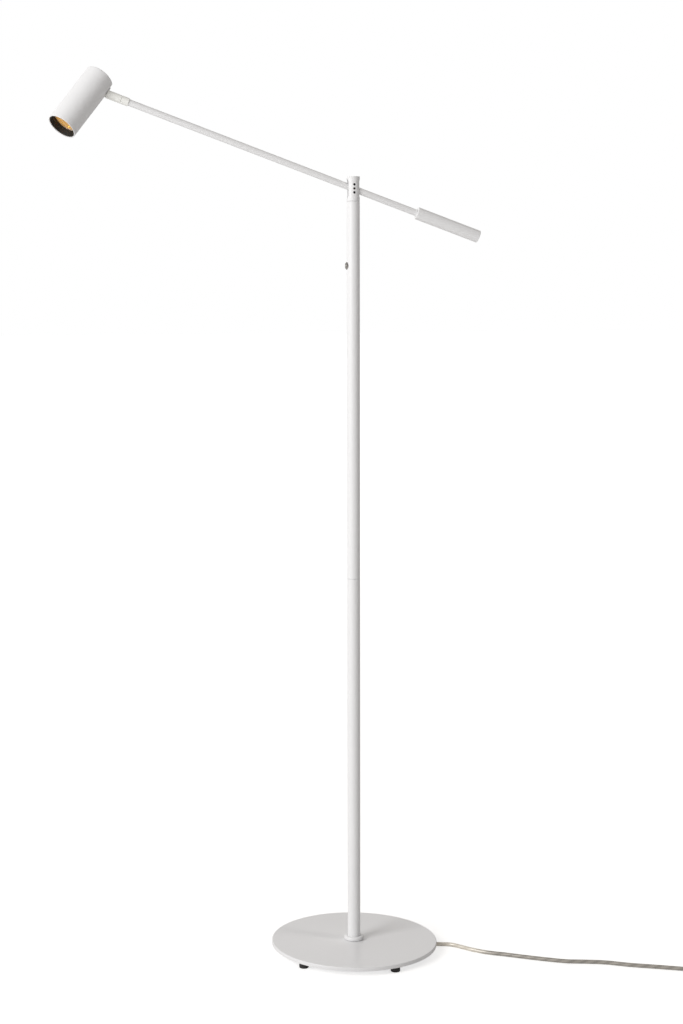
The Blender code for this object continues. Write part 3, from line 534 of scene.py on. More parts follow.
def turned_metal(name, code, roughness, axes, axis):
    """Lathe-turned metal: fine rings round its axis, which draw the light into a streak.

    The rings are drawn wider than the real feed of about 0.1 mm, so that they show.
    """
    made, tree, shader, place = new_finish(name, Metallic=1.0)
    turn = axes.inverted()
    values = {"Location": turn.to_translation(), "Rotation": turn.to_euler()}
    seated = add_node(tree, "ShaderNodeMapping", values, {"Vector": place}).outputs["Vector"]
    values = {"Scale": WAVE_PITCH * per_metre(RING_PITCH), "Distortion": 1.5, "Detail": 2.0}
    rings = add_node(
        tree, "ShaderNodeTexWave", values, {"Vector": seated}, wave_type="RINGS",
        rings_direction=axis,
    )
    patchy(tree, shader, place, linear(code), 0.86, 3 * MM, roughness, 0.06)
    add_bump(tree, shader, rings.outputs["Fac"], 0.01 * MM, 0.6)
    return made


STRANDS = ((2, 0.5), (11, 0.62))  # how many round the lead, and how dark the gaps between them are
PALE_HIGHLIGHT_FADE = 1.35  # where the strands are fully seen, as a share of the painted highlight's length


def clear_lead(tone):
    """A clear PVC sheath over twisted, tinned copper cores: grey strands in a slow twist, glossy.

    The pattern follows the lead's own UV map, where U is the distance along it in metres and V the
    share of the way round. By the boot the lead is drawn pale ivory in place of the strands:
    a painted highlight.
    """
    made, tree, shader, _ = new_finish(
        "Clear PVC over tinned strands", IOR=1.53, Coat_Weight=0.6, Coat_Roughness=0.15,
        Metallic=0.2, Roughness=0.38,
    )
    uv = add_node(tree, "ShaderNodeTexCoord").outputs["UV"]
    along, around, _ = add_node(tree, "ShaderNodeSeparateXYZ", links={"Vector": uv}).outputs
    turn = add_node(
        tree, "ShaderNodeMath", {1: per_metre(LEAD_TWIST)}, {0: along, 2: around},
        operation="MULTIPLY_ADD",
    ).outputs[0]
    levels = []
    for count, dark in STRANDS:
        phase = add_node(
            tree, "ShaderNodeMath", {1: 2 * math.pi * count}, {0: turn}, operation="MULTIPLY"
        ).outputs[0]
        wave = add_node(tree, "ShaderNodeMath", links={0: phase}, operation="SINE").outputs[0]
        values = {"From Min": -1.0, "From Max": 0.7, "To Min": dark}
        levels.append(add_node(tree, "ShaderNodeMapRange", values, {"Value": wave}).outputs[0])
    level = add_node(
        tree, "ShaderNodeMath", links=dict(enumerate(levels)), operation="MULTIPLY"
    ).outputs[0]
    tones = []
    # The first pair of tones is the pale ivory of the painted highlight by the boot, the second the
    # strands.
    for low, high in ((linear("D0C7B9"), linear("F4EEE2")), (shade(tone, 0.5), shade(tone, 1.3))):
        values = {6: opaque(low), 7: opaque(high)}
        mixed = add_node(tree, "ShaderNodeMix", values, {0: level}, data_type="RGBA")
        tones.append(mixed.outputs[2])
    values = {"From Min": PALE_HIGHLIGHT_LENGTH, "From Max": PALE_HIGHLIGHT_LENGTH * PALE_HIGHLIGHT_FADE}
    away = add_node(tree, "ShaderNodeMapRange", values, {"Value": along}).outputs[0]
    links = {0: away, 6: tones[0], 7: tones[1]}
    seen = add_node(tree, "ShaderNodeMix", links=links, data_type="RGBA")
    tree.links.new(seen.outputs[2], shader.inputs["Base Color"])
    add_bump(tree, shader, level, 0.06 * MM, 0.6)
    return made


def clear_glass():
    """A polished soda-lime cover glass: clear, with faint wiping marks in its gloss.

    It is mostly see-through by its alpha, so that light reaches the reflector straight through it.
    """
    made, tree, shader, place = new_finish(
        "Polished soda-lime glass", IOR=1.5, Alpha=0.12, Base_Color=opaque(linear("E8F0F0"))
    )
    values = {"Scale": per_metre(9 * MM), "Detail": 3.0}
    marks = add_node(tree, "ShaderNodeTexNoise", values, {"Vector": place}).outputs["Fac"]
    values = {"From Min": 0.45, "From Max": 0.75, "To Min": 0.02, "To Max": 0.07}
    rough = add_node(tree, "ShaderNodeMapRange", values, {"Value": marks})
    tree.links.new(rough.outputs["Result"], shader.inputs["Roughness"])
    return made


def woven_tape(code):
    """Hook and loop tape: woven nylon, with the loops' fuzz 0.9 mm apart."""
    made, tree, shader, place = new_finish(
        "Woven nylon hook and loop", IOR=1.5, Sheen_Weight=0.4, Roughness=0.9
    )
    tone, values = linear(code), {"Scale": per_metre(0.9 * MM)}
    loops = add_node(tree, "ShaderNodeTexVoronoi", values, {"Vector": place}).outputs["Distance"]
    tinted(tree, shader, loops, shade(tone, 1.8), shade(tone, 0.6))
    add_bump(tree, shader, loops, 0.3 * MM, 0.8)
    return made


def circuit_board(code):
    """Glass-fibre board under green lacquer, with its copper tracks showing through 2 mm apart."""
    made, tree, shader, place = new_finish(
        "Lacquered glass-fibre board", IOR=1.55, Roughness=0.35
    )
    tone = linear(code)
    values = {
        "Scale": per_metre(8 * MM),
        "Color1": opaque(tone),
        "Color2": opaque(shade(tone, 0.8)),
        "Mortar": opaque(shade(tone, 1.5)),
        "Mortar Size": 0.03,
    }
    tracks = add_node(tree, "ShaderNodeTexBrick", values, {"Vector": place})
    tree.links.new(tracks.outputs["Color"], shader.inputs["Base Color"])
    add_bump(tree, shader, tracks.outputs["Fac"], 0.03 * MM)
    return made


FINISHES = {}


def finishes():
    """Every finish by name, made the first time that one is asked for."""
    if not FINISHES:
        colours = bpy.context.scene.lamp_colours
        paint, wrist = tuple(colours.paint), tuple(colours.wrist)
        FINISHES.update(
            paint=powder_coat("White powder coat", paint, 0.40),
            plate_paint=powder_coat("White powder coat on the base", paint, 0.28),
            # The weight's paint is the white paint made a little darker: painted shade.
            weight_paint=powder_coat("White powder coat on the weight", shade(paint, 0.99), 0.42),
            # Ivory paint set lighter than the white paint: partly its own colour, partly painted
            # light.
            wrist_paint=powder_coat("Ivory powder coat", wrist, 0.38),
            rubber=moulded_rubber(tuple(colours.rubber)),
            button=turned_metal("Turned stainless button", "B9B6B2", 0.32, BUTTON, "X"),
            steel=plated_steel("Turned steel", "BDBDBF", 0.3),
            dark_steel=plated_steel("Browned steel", "5E5853", 0.4),
            zinc=plated_steel("Zinc plate", "B4B8BC", 0.36),
            black_steel=plated_steel("Black oxide", "2B2B2C", 0.42),
            brass=turned_metal("Turned brass", "D9BE7A", 0.3, POLE, "Z"),
            aluminium=turned_metal("Turned aluminium", "D4D6D8", 0.36, SPOT, "Z"),
            nylon=moulded_plastic("Natural nylon", "DDD9CC"),
            switch=moulded_plastic("Black polyamide", "1E1E1E"),
            baffle=moulded_plastic("Matt black baffle", "1D1C1B", 0.6, 0.8 * MM),
            vinyl=moulded_plastic("White vinyl", "E0DEDA", 0.38, 0.9 * MM),
            lead=clear_lead(tuple(colours.lead)),
            nickel=plated_steel("Nickel plate", "C9C4BA", 0.22),
            gold=gold_facets(tuple(colours.gold)),
            glass=clear_glass(),
            tape=woven_tape("1C1C1D"),
            phosphor=led_phosphor(),
            board=circuit_board("1F6B43"),
        )
    return FINISHES


# ---- The stage ----

CAMERA_SHIFT = 0.1122  # sideways, since the camera stands left of the pole and looks straight on
LIGHT_AIM = POLE.translation + Vector((0, 0, 0.70))
LIGHT_DISTANCE = 3.4
KEY_WAY = Vector((-0.718, -0.602, 0.350))  # from the lamp towards the soft box on the left
KEY_SIZE = (1.5, 2.2)
FILL_WAY = Vector((0.48, -0.20, 0.855))  # towards the soft box overhead on the right
FILL_SIZE = (0.5, 0.9)
OVERHEAD = 0.66  # light from overhead, as a share of that from low down
LEFT_WALL, RIGHT_WALL = 1.18, 0.10  # shares of the walls' light
PAPER_LIGHT = 0.42  # of the white paper that hangs behind the lamp
FLOOR_HALF = 40.0
FLOOR_GLOW = (0.62, 0.82)  # seen near the lamp and far from it
FLOOR_LIGHT = 0.12  # that the floor gives the lamp
WHITE = (1.0, 1.0, 1.0)


def soft_box(name, way, size, power, code):
    """A rectangular area light that looks at the lamp."""
    data = bpy.data.lights.new(name, "AREA")
    data.shape = "RECTANGLE"
    data.size, data.size_y = size
    data.energy = power
    data.color = linear(code)
    made = new_object(name, data)
    made.location = LIGHT_AIM + way * LIGHT_DISTANCE
    made.rotation_euler = (LIGHT_AIM - made.location).to_track_quat("-Z", "Y").to_euler()


def studio_walls(strength):
    """Light from the walls: pale low down, darker overhead, brighter on the left and behind."""
    world = bpy.data.worlds.new("Studio")
    world.use_nodes = True
    tree = world.node_tree
    back = tree.nodes["Background"]
    way = add_node(tree, "ShaderNodeTexCoord").outputs["Generated"]
    split = add_node(tree, "ShaderNodeSeparateXYZ", links={"Vector": way}).outputs
    height, side, paper = (
        add_node(
            tree, "ShaderNodeMapRange",
            {"From Min": near, "From Max": far, "To Min": start, "To Max": end},
            {"Value": split[axis]},
        ).outputs[0]
        for axis, near, far, start, end in (
            ("Z", 0.0, 0.9, strength, OVERHEAD * strength),
            ("X", -1.0, 1.0, LEFT_WALL, RIGHT_WALL),
            ("Y", 0.35, 0.85, 0.0, PAPER_LIGHT),
        )
    )
    light = add_node(
        tree, "ShaderNodeMath", links={0: height, 1: side, 2: paper}, operation="MULTIPLY_ADD"
    ).outputs[0]
    seen = add_node(tree, "ShaderNodeLightPath").outputs["Is Camera Ray"]
    level = add_node(tree, "ShaderNodeMix", {3: 1.0}, {0: seen, 2: light}, data_type="FLOAT")
    tree.links.new(level.outputs[0], back.inputs["Strength"])
    values = {6: opaque(linear("FFFCF9")), 7: opaque(WHITE)}
    tint = add_node(tree, "ShaderNodeMix", values, {0: seen}, data_type="RGBA")
    tree.links.new(tint.outputs[2], back.inputs["Color"])
    bpy.context.scene.world = world


def studio_floor():
    """A wide pale floor, lit enough to run into the white wall behind it."""
    shape = bmesh.new()
    bmesh.ops.create_grid(shape, x_segments=1, y_segments=1, size=FLOOR_HALF)
    floor = new_object("studio_floor", new_mesh("studio_floor", shape))
    made, tree, shader, place = new_finish(
        "Painted studio floor", Roughness=0.9, Specular_IOR_Level=0.1,
        Base_Color=opaque(linear("D8D7D6")), Emission_Color=opaque(WHITE),
    )
    away = add_node(tree, "ShaderNodeVectorMath", links={0: place}, operation="LENGTH")
    near, far = FLOOR_GLOW
    values = {"From Min": 0.6, "From Max": 4.0, "To Min": near, "To Max": far}
    lift = add_node(tree, "ShaderNodeMapRange", values, {"Value": away.outputs["Value"]})
    seen = add_node(tree, "ShaderNodeLightPath").outputs["Is Camera Ray"]
    links = {0: seen, 3: lift.outputs[0]}
    glow = add_node(tree, "ShaderNodeMix", {2: FLOOR_LIGHT}, links, data_type="FLOAT")
    tree.links.new(glow.outputs[0], shader.inputs["Emission Strength"])
    made.cycles.emission_sampling = "NONE"  # so wide a lamp would only add noise
    floor.data.materials.append(made)


class FLOORLAMP_OT_stage(bpy.types.Operator):
    """Camera, floor, studio walls and two soft boxes"""

    bl_idname = "floorlamp.stage"
    bl_label = "Stage"

    def execute(self, context):
        scene, stage = context.scene, context.scene.lamp_stage
        data = bpy.data.cameras.new("camera")
        data.lens = stage.lens
        data.shift_x = CAMERA_SHIFT
        camera = new_object("camera", data)
        forward = Vector((0, math.cos(stage.camera_pitch), -math.sin(stage.camera_pitch)))
        right = Matrix.Rotation(-stage.camera_roll, 3, forward) @ Vector((1, 0, 0))
        above = right.cross(forward)
        turn = Matrix((right, above, -forward)).transposed().to_4x4()
        place = (POLE_MIDDLE.x + stage.camera_side, -stage.camera_distance, stage.camera_height)
        camera.matrix_world = Matrix.Translation(place) @ turn
        scene.camera = camera
        scene.view_settings.view_transform = "Standard"
        studio_walls(stage.sky)
        studio_floor()
        soft_box("key_light", KEY_WAY, KEY_SIZE, stage.key_power, "FFFFFF")
        soft_box("fill_light", FILL_WAY, FILL_SIZE, stage.fill_power, "FFFAF5")
        return {"FINISHED"}


# ---- The mains lead, its tie and its plug ----

LEAD_ROUTE = (
    (0.1043, 0.0025, 0.0046),
    (0.1180, 0.0030, 0.0038),
    (0.1340, 0.0040, 0.0031),
    (0.1490, 0.0010, 0.0031),
    (0.1630, -0.0095, 0.0031),
    (0.1780, -0.0220, 0.0031),
    (0.1990, -0.0346, 0.0031),
    (0.2240, -0.0438, 0.0031),
    (0.2520, -0.0552, 0.0031),
    (0.2830, -0.0667, 0.0031),
    (0.3110, -0.0752, 0.0031),
    (0.3380, -0.0776, 0.0031),
    (0.3680, -0.0818, 0.0031),
    (0.4020, -0.0930, 0.0031),
    (0.4400, -0.1020, 0.0031),
    (0.4750, -0.1110, 0.0032),
    (0.5030, -0.1182, 0.0034),
)  # from the pole's axis, over the floor to the coil
TAIL_ROUTE = (
    (0.5836, -0.0740, 0.0099),
    (0.5837, -0.0640, 0.0088),
    (0.5837, -0.0545, 0.0068),
    (0.5837, -0.0440, 0.0052),
    (0.5838, -0.0310, 0.0049),
    (0.5837, -0.0180, 0.0059),
    (0.5836, -0.0063, 0.0069),
)  # from the coil to the plug
LANES_IN = (42.6 * MM, 36.5 * MM, 30.4 * MM, 24.3 * MM)
COIL_LANES = LANES_IN + LANES_IN[::-1]
COIL_START = -104.4  # where the lead meets the coil, in degrees
COIL_LAYERS = (3.9 * MM, 10.0 * MM)
LANE_CHANGE = 100.0  # the turn over which the lead moves to the next lane
RISE = 150.0  # the turn over which it climbs to the upper layer
COIL_STEP = 10.0
LEAD_SPACING = 2.5 * MM
LEAD_SIDES = 24
CURVE_STEPS = 24  # between two points of a route
LEAD_TWIST = 36 * MM  # of the cores
PALE_HIGHLIGHT_LENGTH = 85 * MM  # of the painted highlight past the boot, where the lead is drawn pale ivory


def ease(share):
    """From 0 to 1 with a soft start and stop."""
    share = min(1.0, max(0.0, share))
    return share * share * (3 - 2 * share)


def coil_route(centre):
    """The lead's turns: inwards along the floor in four lanes, then up and outwards over them."""
    found = []
    full = 360.0
    lower_turns = len(COIL_LANES) // 2
    sweep = full * (len(COIL_LANES) - 1) - COIL_START
    steps = round(sweep / COIL_STEP)
    for step in range(steps + 1):
        turned_by = sweep * step / steps
        lane = int(turned_by // full)
        within = turned_by - lane * full
        nearer = COIL_LANES[min(lane + 1, len(COIL_LANES) - 1)]
        changed = ease((within - full + LANE_CHANGE) / LANE_CHANGE)
        radius = COIL_LANES[lane] + (nearer - COIL_LANES[lane]) * changed
        climbed = turned_by - (lower_turns * full - LANE_CHANGE - RISE)
        height = COIL_LAYERS[0] + (COIL_LAYERS[1] - COIL_LAYERS[0]) * ease(climbed / RISE)
        at = math.radians(COIL_START + turned_by)
        found.append((centre.x + radius * math.cos(at), centre.y + radius * math.sin(at), height))
    return found


def travelled(path):
    """The distance along a path at each of its points."""
    found = [0.0]
    for here, there in zip(path, path[1:]):
        found.append(found[-1] + (there - here).length)
    return found


def smooth_path(route, spacing):
    """Evenly spaced points on a smooth curve through a route's points."""
    ends = [route[0], *route, route[-1]]
    fine = []
    for before, here, there, after in zip(ends, ends[1:], ends[2:], ends[3:]):
        p0, p1, p2, p3 = (Vector(point) for point in (before, here, there, after))
        for step in range(CURVE_STEPS):
            t = step / CURVE_STEPS
            spot = p1 + (p2 - p0) * (t / 2) + (2 * p0 - 5 * p1 + 4 * p2 - p3) * (t * t / 2)
            fine.append(spot + (3 * p1 - p0 - 3 * p2 + p3) * (t * t * t / 2))
    fine.append(Vector(route[-1]))
    travel = travelled(fine)
    count = round(travel[-1] / spacing)
    found, index = [], 0
    for step in range(count + 1):
        want = travel[-1] * step / count
        while index < len(fine) - 2 and travel[index + 1] < want:
            index += 1
        share = (want - travel[index]) / (travel[index + 1] - travel[index])
        found.append(fine[index].lerp(fine[index + 1], share))
    return found


def lead_path():
    """The lead's whole line, from the boot to the plug."""
    run = [POLE @ Vector(point) for point in LEAD_ROUTE]
    tail = [POLE @ Vector(point) for point in TAIL_ROUTE]
    return smooth_path([*run, *coil_route(COIL.translation), *tail], LEAD_SPACING)


def tube_along(path, diameter):
    """A round tube along a path with closed ends. Its UV map has U along it in metres, V round."""
    data = bpy.data.curves.new("tube", "CURVE")
    data.dimensions = "3D"
    data.bevel_depth = diameter / 2
    data.bevel_resolution = LEAD_SIDES // 2 - 2
    spline = data.splines.new("POLY")
    spline.points.add(len(path) - 1)
    for target, point in zip(spline.points, path):
        target.co = (*point, 1.0)
    helper = new_object("tube", data)
    shape = evaluated(helper)
    bpy.data.objects.remove(helper)
    bpy.data.curves.remove(data)
    sides = len(shape.verts) // len(path)
    travel = travelled(path)
    layer = shape.loops.layers.uv.verify()
    for face in shape.faces:
        around = [loop.vert.index % sides for loop in face.loops]
        wraps = max(around) - min(around) > sides / 2
        for loop, side in zip(face.loops, around):
            share = (side + sides if wraps and side < sides / 2 else side) / sides
            loop[layer].uv = (travel[loop.vert.index // sides], share)
    bmesh.ops.holes_fill(shape, edges=[edge for edge in shape.edges if edge.is_boundary])
    return shape


BOOT_RIBS = 6
BOOT_POCKET_WIDTH = 13.0 * MM
BOOT_TIP = 3.55 * MM  # radius at the thin end
PLUG_GROOVES = 4
TAPE_THICK = 0.5 * MM


def ribbed_boot(low, high):
    """The strain relief: a head, then a taper cut by grooves so that it bends."""
    head, long = (high.z - low.z) / 2, high.x - low.x
    corners = [(0, 0, 0), (head, 0, 0.6 * MM), (head, 7 * MM, 0.8 * MM)]
    start, step = 9 * MM, (long - 12 * MM) / BOOT_RIBS
    for rib in range(BOOT_RIBS):
        at = start + rib * step
        outer = head - 0.35 * MM + (BOOT_TIP - head) * (at / long)
        corners += [(outer, at, 0.2 * MM), (outer, at + 0.62 * step, 0.2 * MM)]
        groove = outer - 0.7 * MM
        corners += [(groove, at + 0.66 * step, 0), (groove, at + 0.96 * step, 0)]
    corners += [(BOOT_TIP, long - 2.5 * MM, 0.3 * MM), (BOOT_TIP, long, 0.4 * MM), (0, long, 0)]
    return turned(corners, "X", SMALL_SIDES)


def make_mains_lead():
    """The lead with its coil, the boot, the tie and the two-pin plug."""
    path = lead_path()
    diameter = bpy.context.scene.lamp_sizes.lead_diameter
    here = Matrix.Identity(4)
    tube = tube_along(path, diameter)
    nodes = ("mains_lead", "mains_lead_end", "lead_coil")
    lead = piece("clear_mains_lead", tube, here, "lead", "stand", *nodes)

    low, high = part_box("strain_relief")
    axes = Matrix.Translation((low.x, (low.y + high.y) / 2, (low.z + high.z) / 2))
    shape = ribbed_boot(low, high)
    boot = piece("ribbed_boot", shape, axes, "vinyl", "stand", "strain_relief")

    way = middle("lead_tie") - COIL.translation
    way.z = 0
    axes = seat(COIL.translation, way, UP.cross(way))
    low, high = extent("lead_tie", axes)
    inset = Vector((TAPE_THICK, -CUT_OVER, TAPE_THICK))
    strap = carved(block(low, high, 1.2 * MM), block(low + inset, high - inset))
    tie = piece("hook_and_loop_tie", strap, axes, "tape", "stand", "lead_tie")

    low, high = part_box("plug_body")
    axes = Matrix.Translation(((low.x + high.x) / 2, low.y, (low.z + high.z) / 2))
    half, long, thick = (high.x - low.x) / 2, high.y - low.y, high.z - low.z
    outline = [(-5.5 * MM, 0), (-6.7 * MM, 10 * MM), (-half, long - 10 * MM), (-half, long)]
    outline += [(-across, along) for across, along in reversed(outline)]
    shape = slab(outline, -thick / 2, thick / 2)
    round_edges(shape, shape.edges, 1.8 * MM, 4)
    for groove in range(PLUG_GROOVES):
        at = 9 * MM + groove * 3 * MM
        for side in (-1, 1):
            near, far = sorted((side * (thick / 2 - 0.5 * MM), side * (thick / 2 + CUT_OVER)))
            shape = carved(shape, block((-4 * MM, at, near), (4 * MM, at + 1.2 * MM, far)))
    plug = piece("two_pin_plug", shape, axes, "vinyl", "stand", "plug_body")
    for side in ("left", "right"):
        node = f"plug_pin_{side}"
        low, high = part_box(node)
        place = (middle(node).x, 0, middle(node).z)
        shape = bar(high.x - low.x, low.y, high.y, "Y", edge=1.0 * MM, centre=place)
        piece(f"plated_pin_{side}", shape, here, "nickel", "stand", node)


# ---- Base ----

COLLAR_ROUND = 2.4 * MM
FEET = 5


def make_base():
    """The painted plate on its rubber feet, and the collar and nut that hold the pole."""
    edge = bpy.context.scene.lamp_sizes.plate_edge
    low, high = extent("base_plate", POLE)
    nut_low, nut_high = extent("stud_nut", POLE)
    hole = extent("pole_stud", POLE)[1].x + GAP
    pocket, pocket_top = max(nut_high.x, nut_high.y) + 2 * GAP, nut_high.z + GAP
    corners = [(hole, high.z, 0), (high.x, high.z, edge), (high.x, low.z, edge)]
    corners += [(pocket, low.z, 0.2 * MM), (pocket, pocket_top, 0), (hole, pocket_top, 0)]
    boot_low, boot_high = extent("strain_relief", POLE)
    side = (boot_low.y + boot_high.y) / 2
    room = block(
        (boot_low.x - 2 * GAP, side - BOOT_POCKET_WIDTH / 2, low.z - CUT_OVER),
        (boot_high.x + 2 * GAP, side + BOOT_POCKET_WIDTH / 2, boot_high.z + 2 * GAP),
    )
    plate = carved(turned(corners, sides=192), room)
    piece("painted_base", plate, POLE, "plate_paint", "stand", "base_plate")

    low, high = extent("base_collar", POLE)
    inner = extent("lower_tube", POLE)[1].x + GAP
    corners = [(inner, low.z, 0.3 * MM), (high.x, low.z, COLLAR_ROUND)]
    corners += [(high.x, high.z, COLLAR_ROUND), (inner, high.z, 0.4 * MM)]
    piece("painted_collar", turned(corners), POLE, "paint", "stand", "base_collar")

    across, tall = 2 * min(nut_high.x, nut_high.y), nut_high.z - nut_low.z
    nut = hexagon(across, nut_low.z, nut_high.z)
    corner = across / math.sqrt(3)
    end, waist = corner - 0.8 * MM, corner + 0.6 * MM
    corners = [(0, nut_low.z, 0), (end, nut_low.z, 0), (waist, nut_low.z + 0.5 * tall, 0)]
    corners += [(end, nut_high.z, 0), (0, nut_high.z, 0)]
    nut = carved(nut, turned(corners, sides=SMALL_SIDES), "INTERSECT")
    nut = carved(nut, bar(2 * hole, nut_low.z - CUT_OVER, nut_high.z + CUT_OVER))
    piece("chamfered_nut", nut, POLE, "zinc", "stand", "stud_nut")

    for number in range(1, FEET + 1):
        node = f"foot_{number}"
        low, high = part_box(node)
        radius, dish = (high.x - low.x) / 2, 0.5 * MM
        corners = [(0, dish, 0), (0.45 * radius, dish, 0.2 * MM), (0.5 * radius, 0, 0.2 * MM)]
        corners += [(radius, 0, 1.2 * MM), (radius, high.z, 0.4 * MM), (0, high.z, 0)]
        place = Matrix.Translation(((low.x + high.x) / 2, (low.y + high.y) / 2, 0))
        piece(f"rubber_{node}", turned(corners, sides=SMALL_SIDES), place, "rubber", "stand", node)


# ---- Pole and dimmer ----


def make_pole():
    """Two painted tubes, the upper one with the hole for the dimmer's ring."""
    sizes = bpy.context.scene.lamp_sizes
    hole = extent("button_ring", BUTTON)[1].z + GAP
    for name, node in (("lower_pole", "lower_tube"), ("upper_pole", "upper_tube")):
        low, high = extent(node, POLE)
        bore = high.x - sizes.tube_wall
        shape = turned(band(bore, high.x, low.z, high.z, sizes.paint_edge))
        if node == "upper_tube":
            at = (0, 0, BUTTON.translation.z)
            shape = carved(shape, bar(2 * hole, -2 * high.x, 0, "X", centre=at))
        piece(name, shape, POLE, "paint", "stand", node)


def make_dimmer():
    """The ring in the pole's wall and the dished button that slides in it."""
    low, high = extent("button_ring", BUTTON)
    cap_low, cap_high = extent("dimmer_button", BUTTON)
    outer, cap = high.z, cap_high.z
    inner = cap + GAP
    corners = [(inner, high.x, 0), (outer, high.x, 0), (outer, low.x, 0.4 * MM)]
    ring = turned([*corners, (inner, low.x, 0.3 * MM)], "X", FINE_SIDES)
    piece("dimmer_ring", ring, BUTTON, "button", "stand", "button_ring")
    corners = [(0, cap_high.x, 0), (cap, cap_high.x, 0.2 * MM), (cap, cap_low.x, 0.6 * MM)]
    corners += [(0.72 * cap, cap_low.x, 0.5 * MM), (0, cap_low.x + 0.4 * MM, 0)]
    shape = turned(corners, "X", FINE_SIDES)
    piece("dished_button", shape, BUTTON, "button", "button", "dimmer_button")


# ---- The head on the pole ----

STEM = 5.0 * MM  # radius of the hollow stem
STEM_BORE = 3.0 * MM  # radius of the wires' way through it


def slot_outline(width, height):
    """A slot with round ends, its long side first."""
    half = width / 2
    found = round_end((height / 2 - half, 0), half, -90, 90)
    return found + round_end((half - height / 2, 0), half, 90, 270)


def make_pivot():
    """The slotted head that turns on the pole, its hinge screw and its two friction screws."""
    sizes = bpy.context.scene.lamp_sizes
    low, high = extent("pivot_head", PIVOT)
    radius = extent("upper_tube", POLE)[1].x
    seam = extent("upper_tube", PIVOT)[1].z + GAP
    half = sizes.slot_width / 2
    corners = [(0, high.z, 0), (radius, high.z, 0.6 * MM), (radius, seam, sizes.paint_edge)]
    corners += [(STEM, seam, 0), (STEM, low.z, 0.3 * MM), (STEM_BORE, low.z, 0)]
    corners += [(STEM_BORE, -half, 0), (0, -half, 0)]
    slot = slot_outline(sizes.slot_width, sizes.slot_height)
    head = carved(turned(corners), slab(slot, -LONG_CUT, LONG_CUT, "X"))
    low, high = extent("friction_shoe", PIVOT)
    pocket = block((low.x - GAP, 0, low.z - GAP), (high.x + GAP, high.y + GAP, high.z + GAP))
    head = carved(head, pocket)
    low, high = extent("pivot_screw", PIVOT)
    thread = high.z
    head = carved(head, bar(2 * (thread + GAP), -LONG_CUT, LONG_CUT, "Y"))
    screw = bar(2 * thread, low.y, high.y, "Y", edge=0.25 * MM)
    corner = Vector((0.3 * MM, high.y + CUT_OVER, 10 * MM))
    drive = block((-corner.x, high.y - 0.6 * MM, -corner.z), corner)
    shape = carved(screw, drive)
    piece("slotted_hinge_screw", shape, PIVOT, "dark_steel", "pivot", "pivot_screw")
    for name in ("upper", "lower"):
        node = f"grub_screw_{name}"
        low, high = extent(node, PIVOT)
        thread, at = (high.z - low.z) / 2, (low.z + high.z) / 2
        head = carved(head, bar(2 * (thread + GAP), half / 2, LONG_CUT, "Y", centre=(0, 0, at)))
        shape = bar(2 * thread, low.y, high.y, "Y", edge=0.15 * MM, centre=(0, 0, at))
        socket_end = high.y - 0.7 * (high.y - low.y)
        shape = carved(shape, hexagon(1.4 * MM, socket_end, high.y + CUT_OVER, "Y", (0, 0, at)))
        piece(f"socket_{node}", shape, PIVOT, "black_steel", "pivot", node)
    piece("slotted_head", head, PIVOT, "paint", "pivot", "pivot_head")


# ---- Arm and wrist ----

ROD_WALL = 1.1 * MM
WEIGHT_ROUND = 0.7 * MM
WRIST_STEM = 3.0 * MM  # radius of the stem that the wrist turns on
WIRE_BORE = 1.6 * MM
SLEEVE_END = 23.0 * MM  # from the tilt pin back to the end of the sleeve
EYE = 5.2 * MM  # radius of the tongue's round end
TONGUE_HEIGHT = 8.0 * MM
TONGUE_THICK = 7.6 * MM
PIN_BORE = 4.4 * MM


def make_arm():
    """The painted rod, the counterweight on its short end and the ivory collar on its long end."""
    low, high = extent("arm_tube", ARM)
    radius = high.z
    shape = turned(band(radius - ROD_WALL, radius, low.x, high.x, 0.3 * MM), "X", FINE_SIDES)
    bush = extent("hinge_bush", ARM)[1].z + GAP
    shape = carved(shape, bar(2 * bush, -2 * radius, 2 * radius, "Y"))
    piece("painted_rod", shape, ARM, "paint", "arm", "arm_tube")

    rod_end, hole = low.x - GAP, radius + GAP
    low, high = extent("counterweight", ARM)
    corners = [(0, rod_end, 0), (hole, rod_end, 0), (hole, high.x, 0.3 * MM)]
    corners += [(high.z, high.x, WEIGHT_ROUND), (high.z, low.x, WEIGHT_ROUND), (0, low.x, 0)]
    screw_low, screw_high = extent("counterweight_screw", ARM)
    at, thread = (screw_low.x + screw_high.x) / 2, (screw_high.x - screw_low.x) / 2
    shape = turned(corners, "X")
    shape = carved(shape, bar(2 * (thread + GAP), -2 * high.z, 0, centre=(at, 0, 0)))
    piece("painted_weight", shape, ARM, "weight_paint", "arm", "counterweight")
    screw = bar(2 * thread, screw_low.z, screw_high.z, edge=0.25 * MM, centre=(at, 0, 0))
    start, end = screw_low.z - CUT_OVER, screw_low.z + 1.6 * MM
    shape = carved(screw, hexagon(2.0 * MM, start, end, centre=(at, 0, 0)))
    piece("socket_weight_screw", shape, ARM, "black_steel", "arm", "counterweight_screw")

    rod_end = extent("arm_tube", ARM)[1].x + GAP
    low, high = extent("wrist_collar", ARM)
    shoulder = extent("wrist_sleeve", ARM)[0].x - GAP
    edge = bpy.context.scene.lamp_sizes.paint_edge
    corners = [(hole, low.x, 0.2 * MM), (high.z, low.x, edge), (high.z, shoulder, 0.2 * MM)]
    corners += [(WRIST_STEM, shoulder, 0), (WRIST_STEM, high.x, 0.2 * MM), (WIRE_BORE, high.x, 0)]
    corners += [(WIRE_BORE, rod_end, 0), (hole, rod_end, 0)]
    shape = turned(corners, "X", FINE_SIDES)
    piece("ivory_collar", shape, ARM, "wrist_paint", "arm", "wrist_collar")


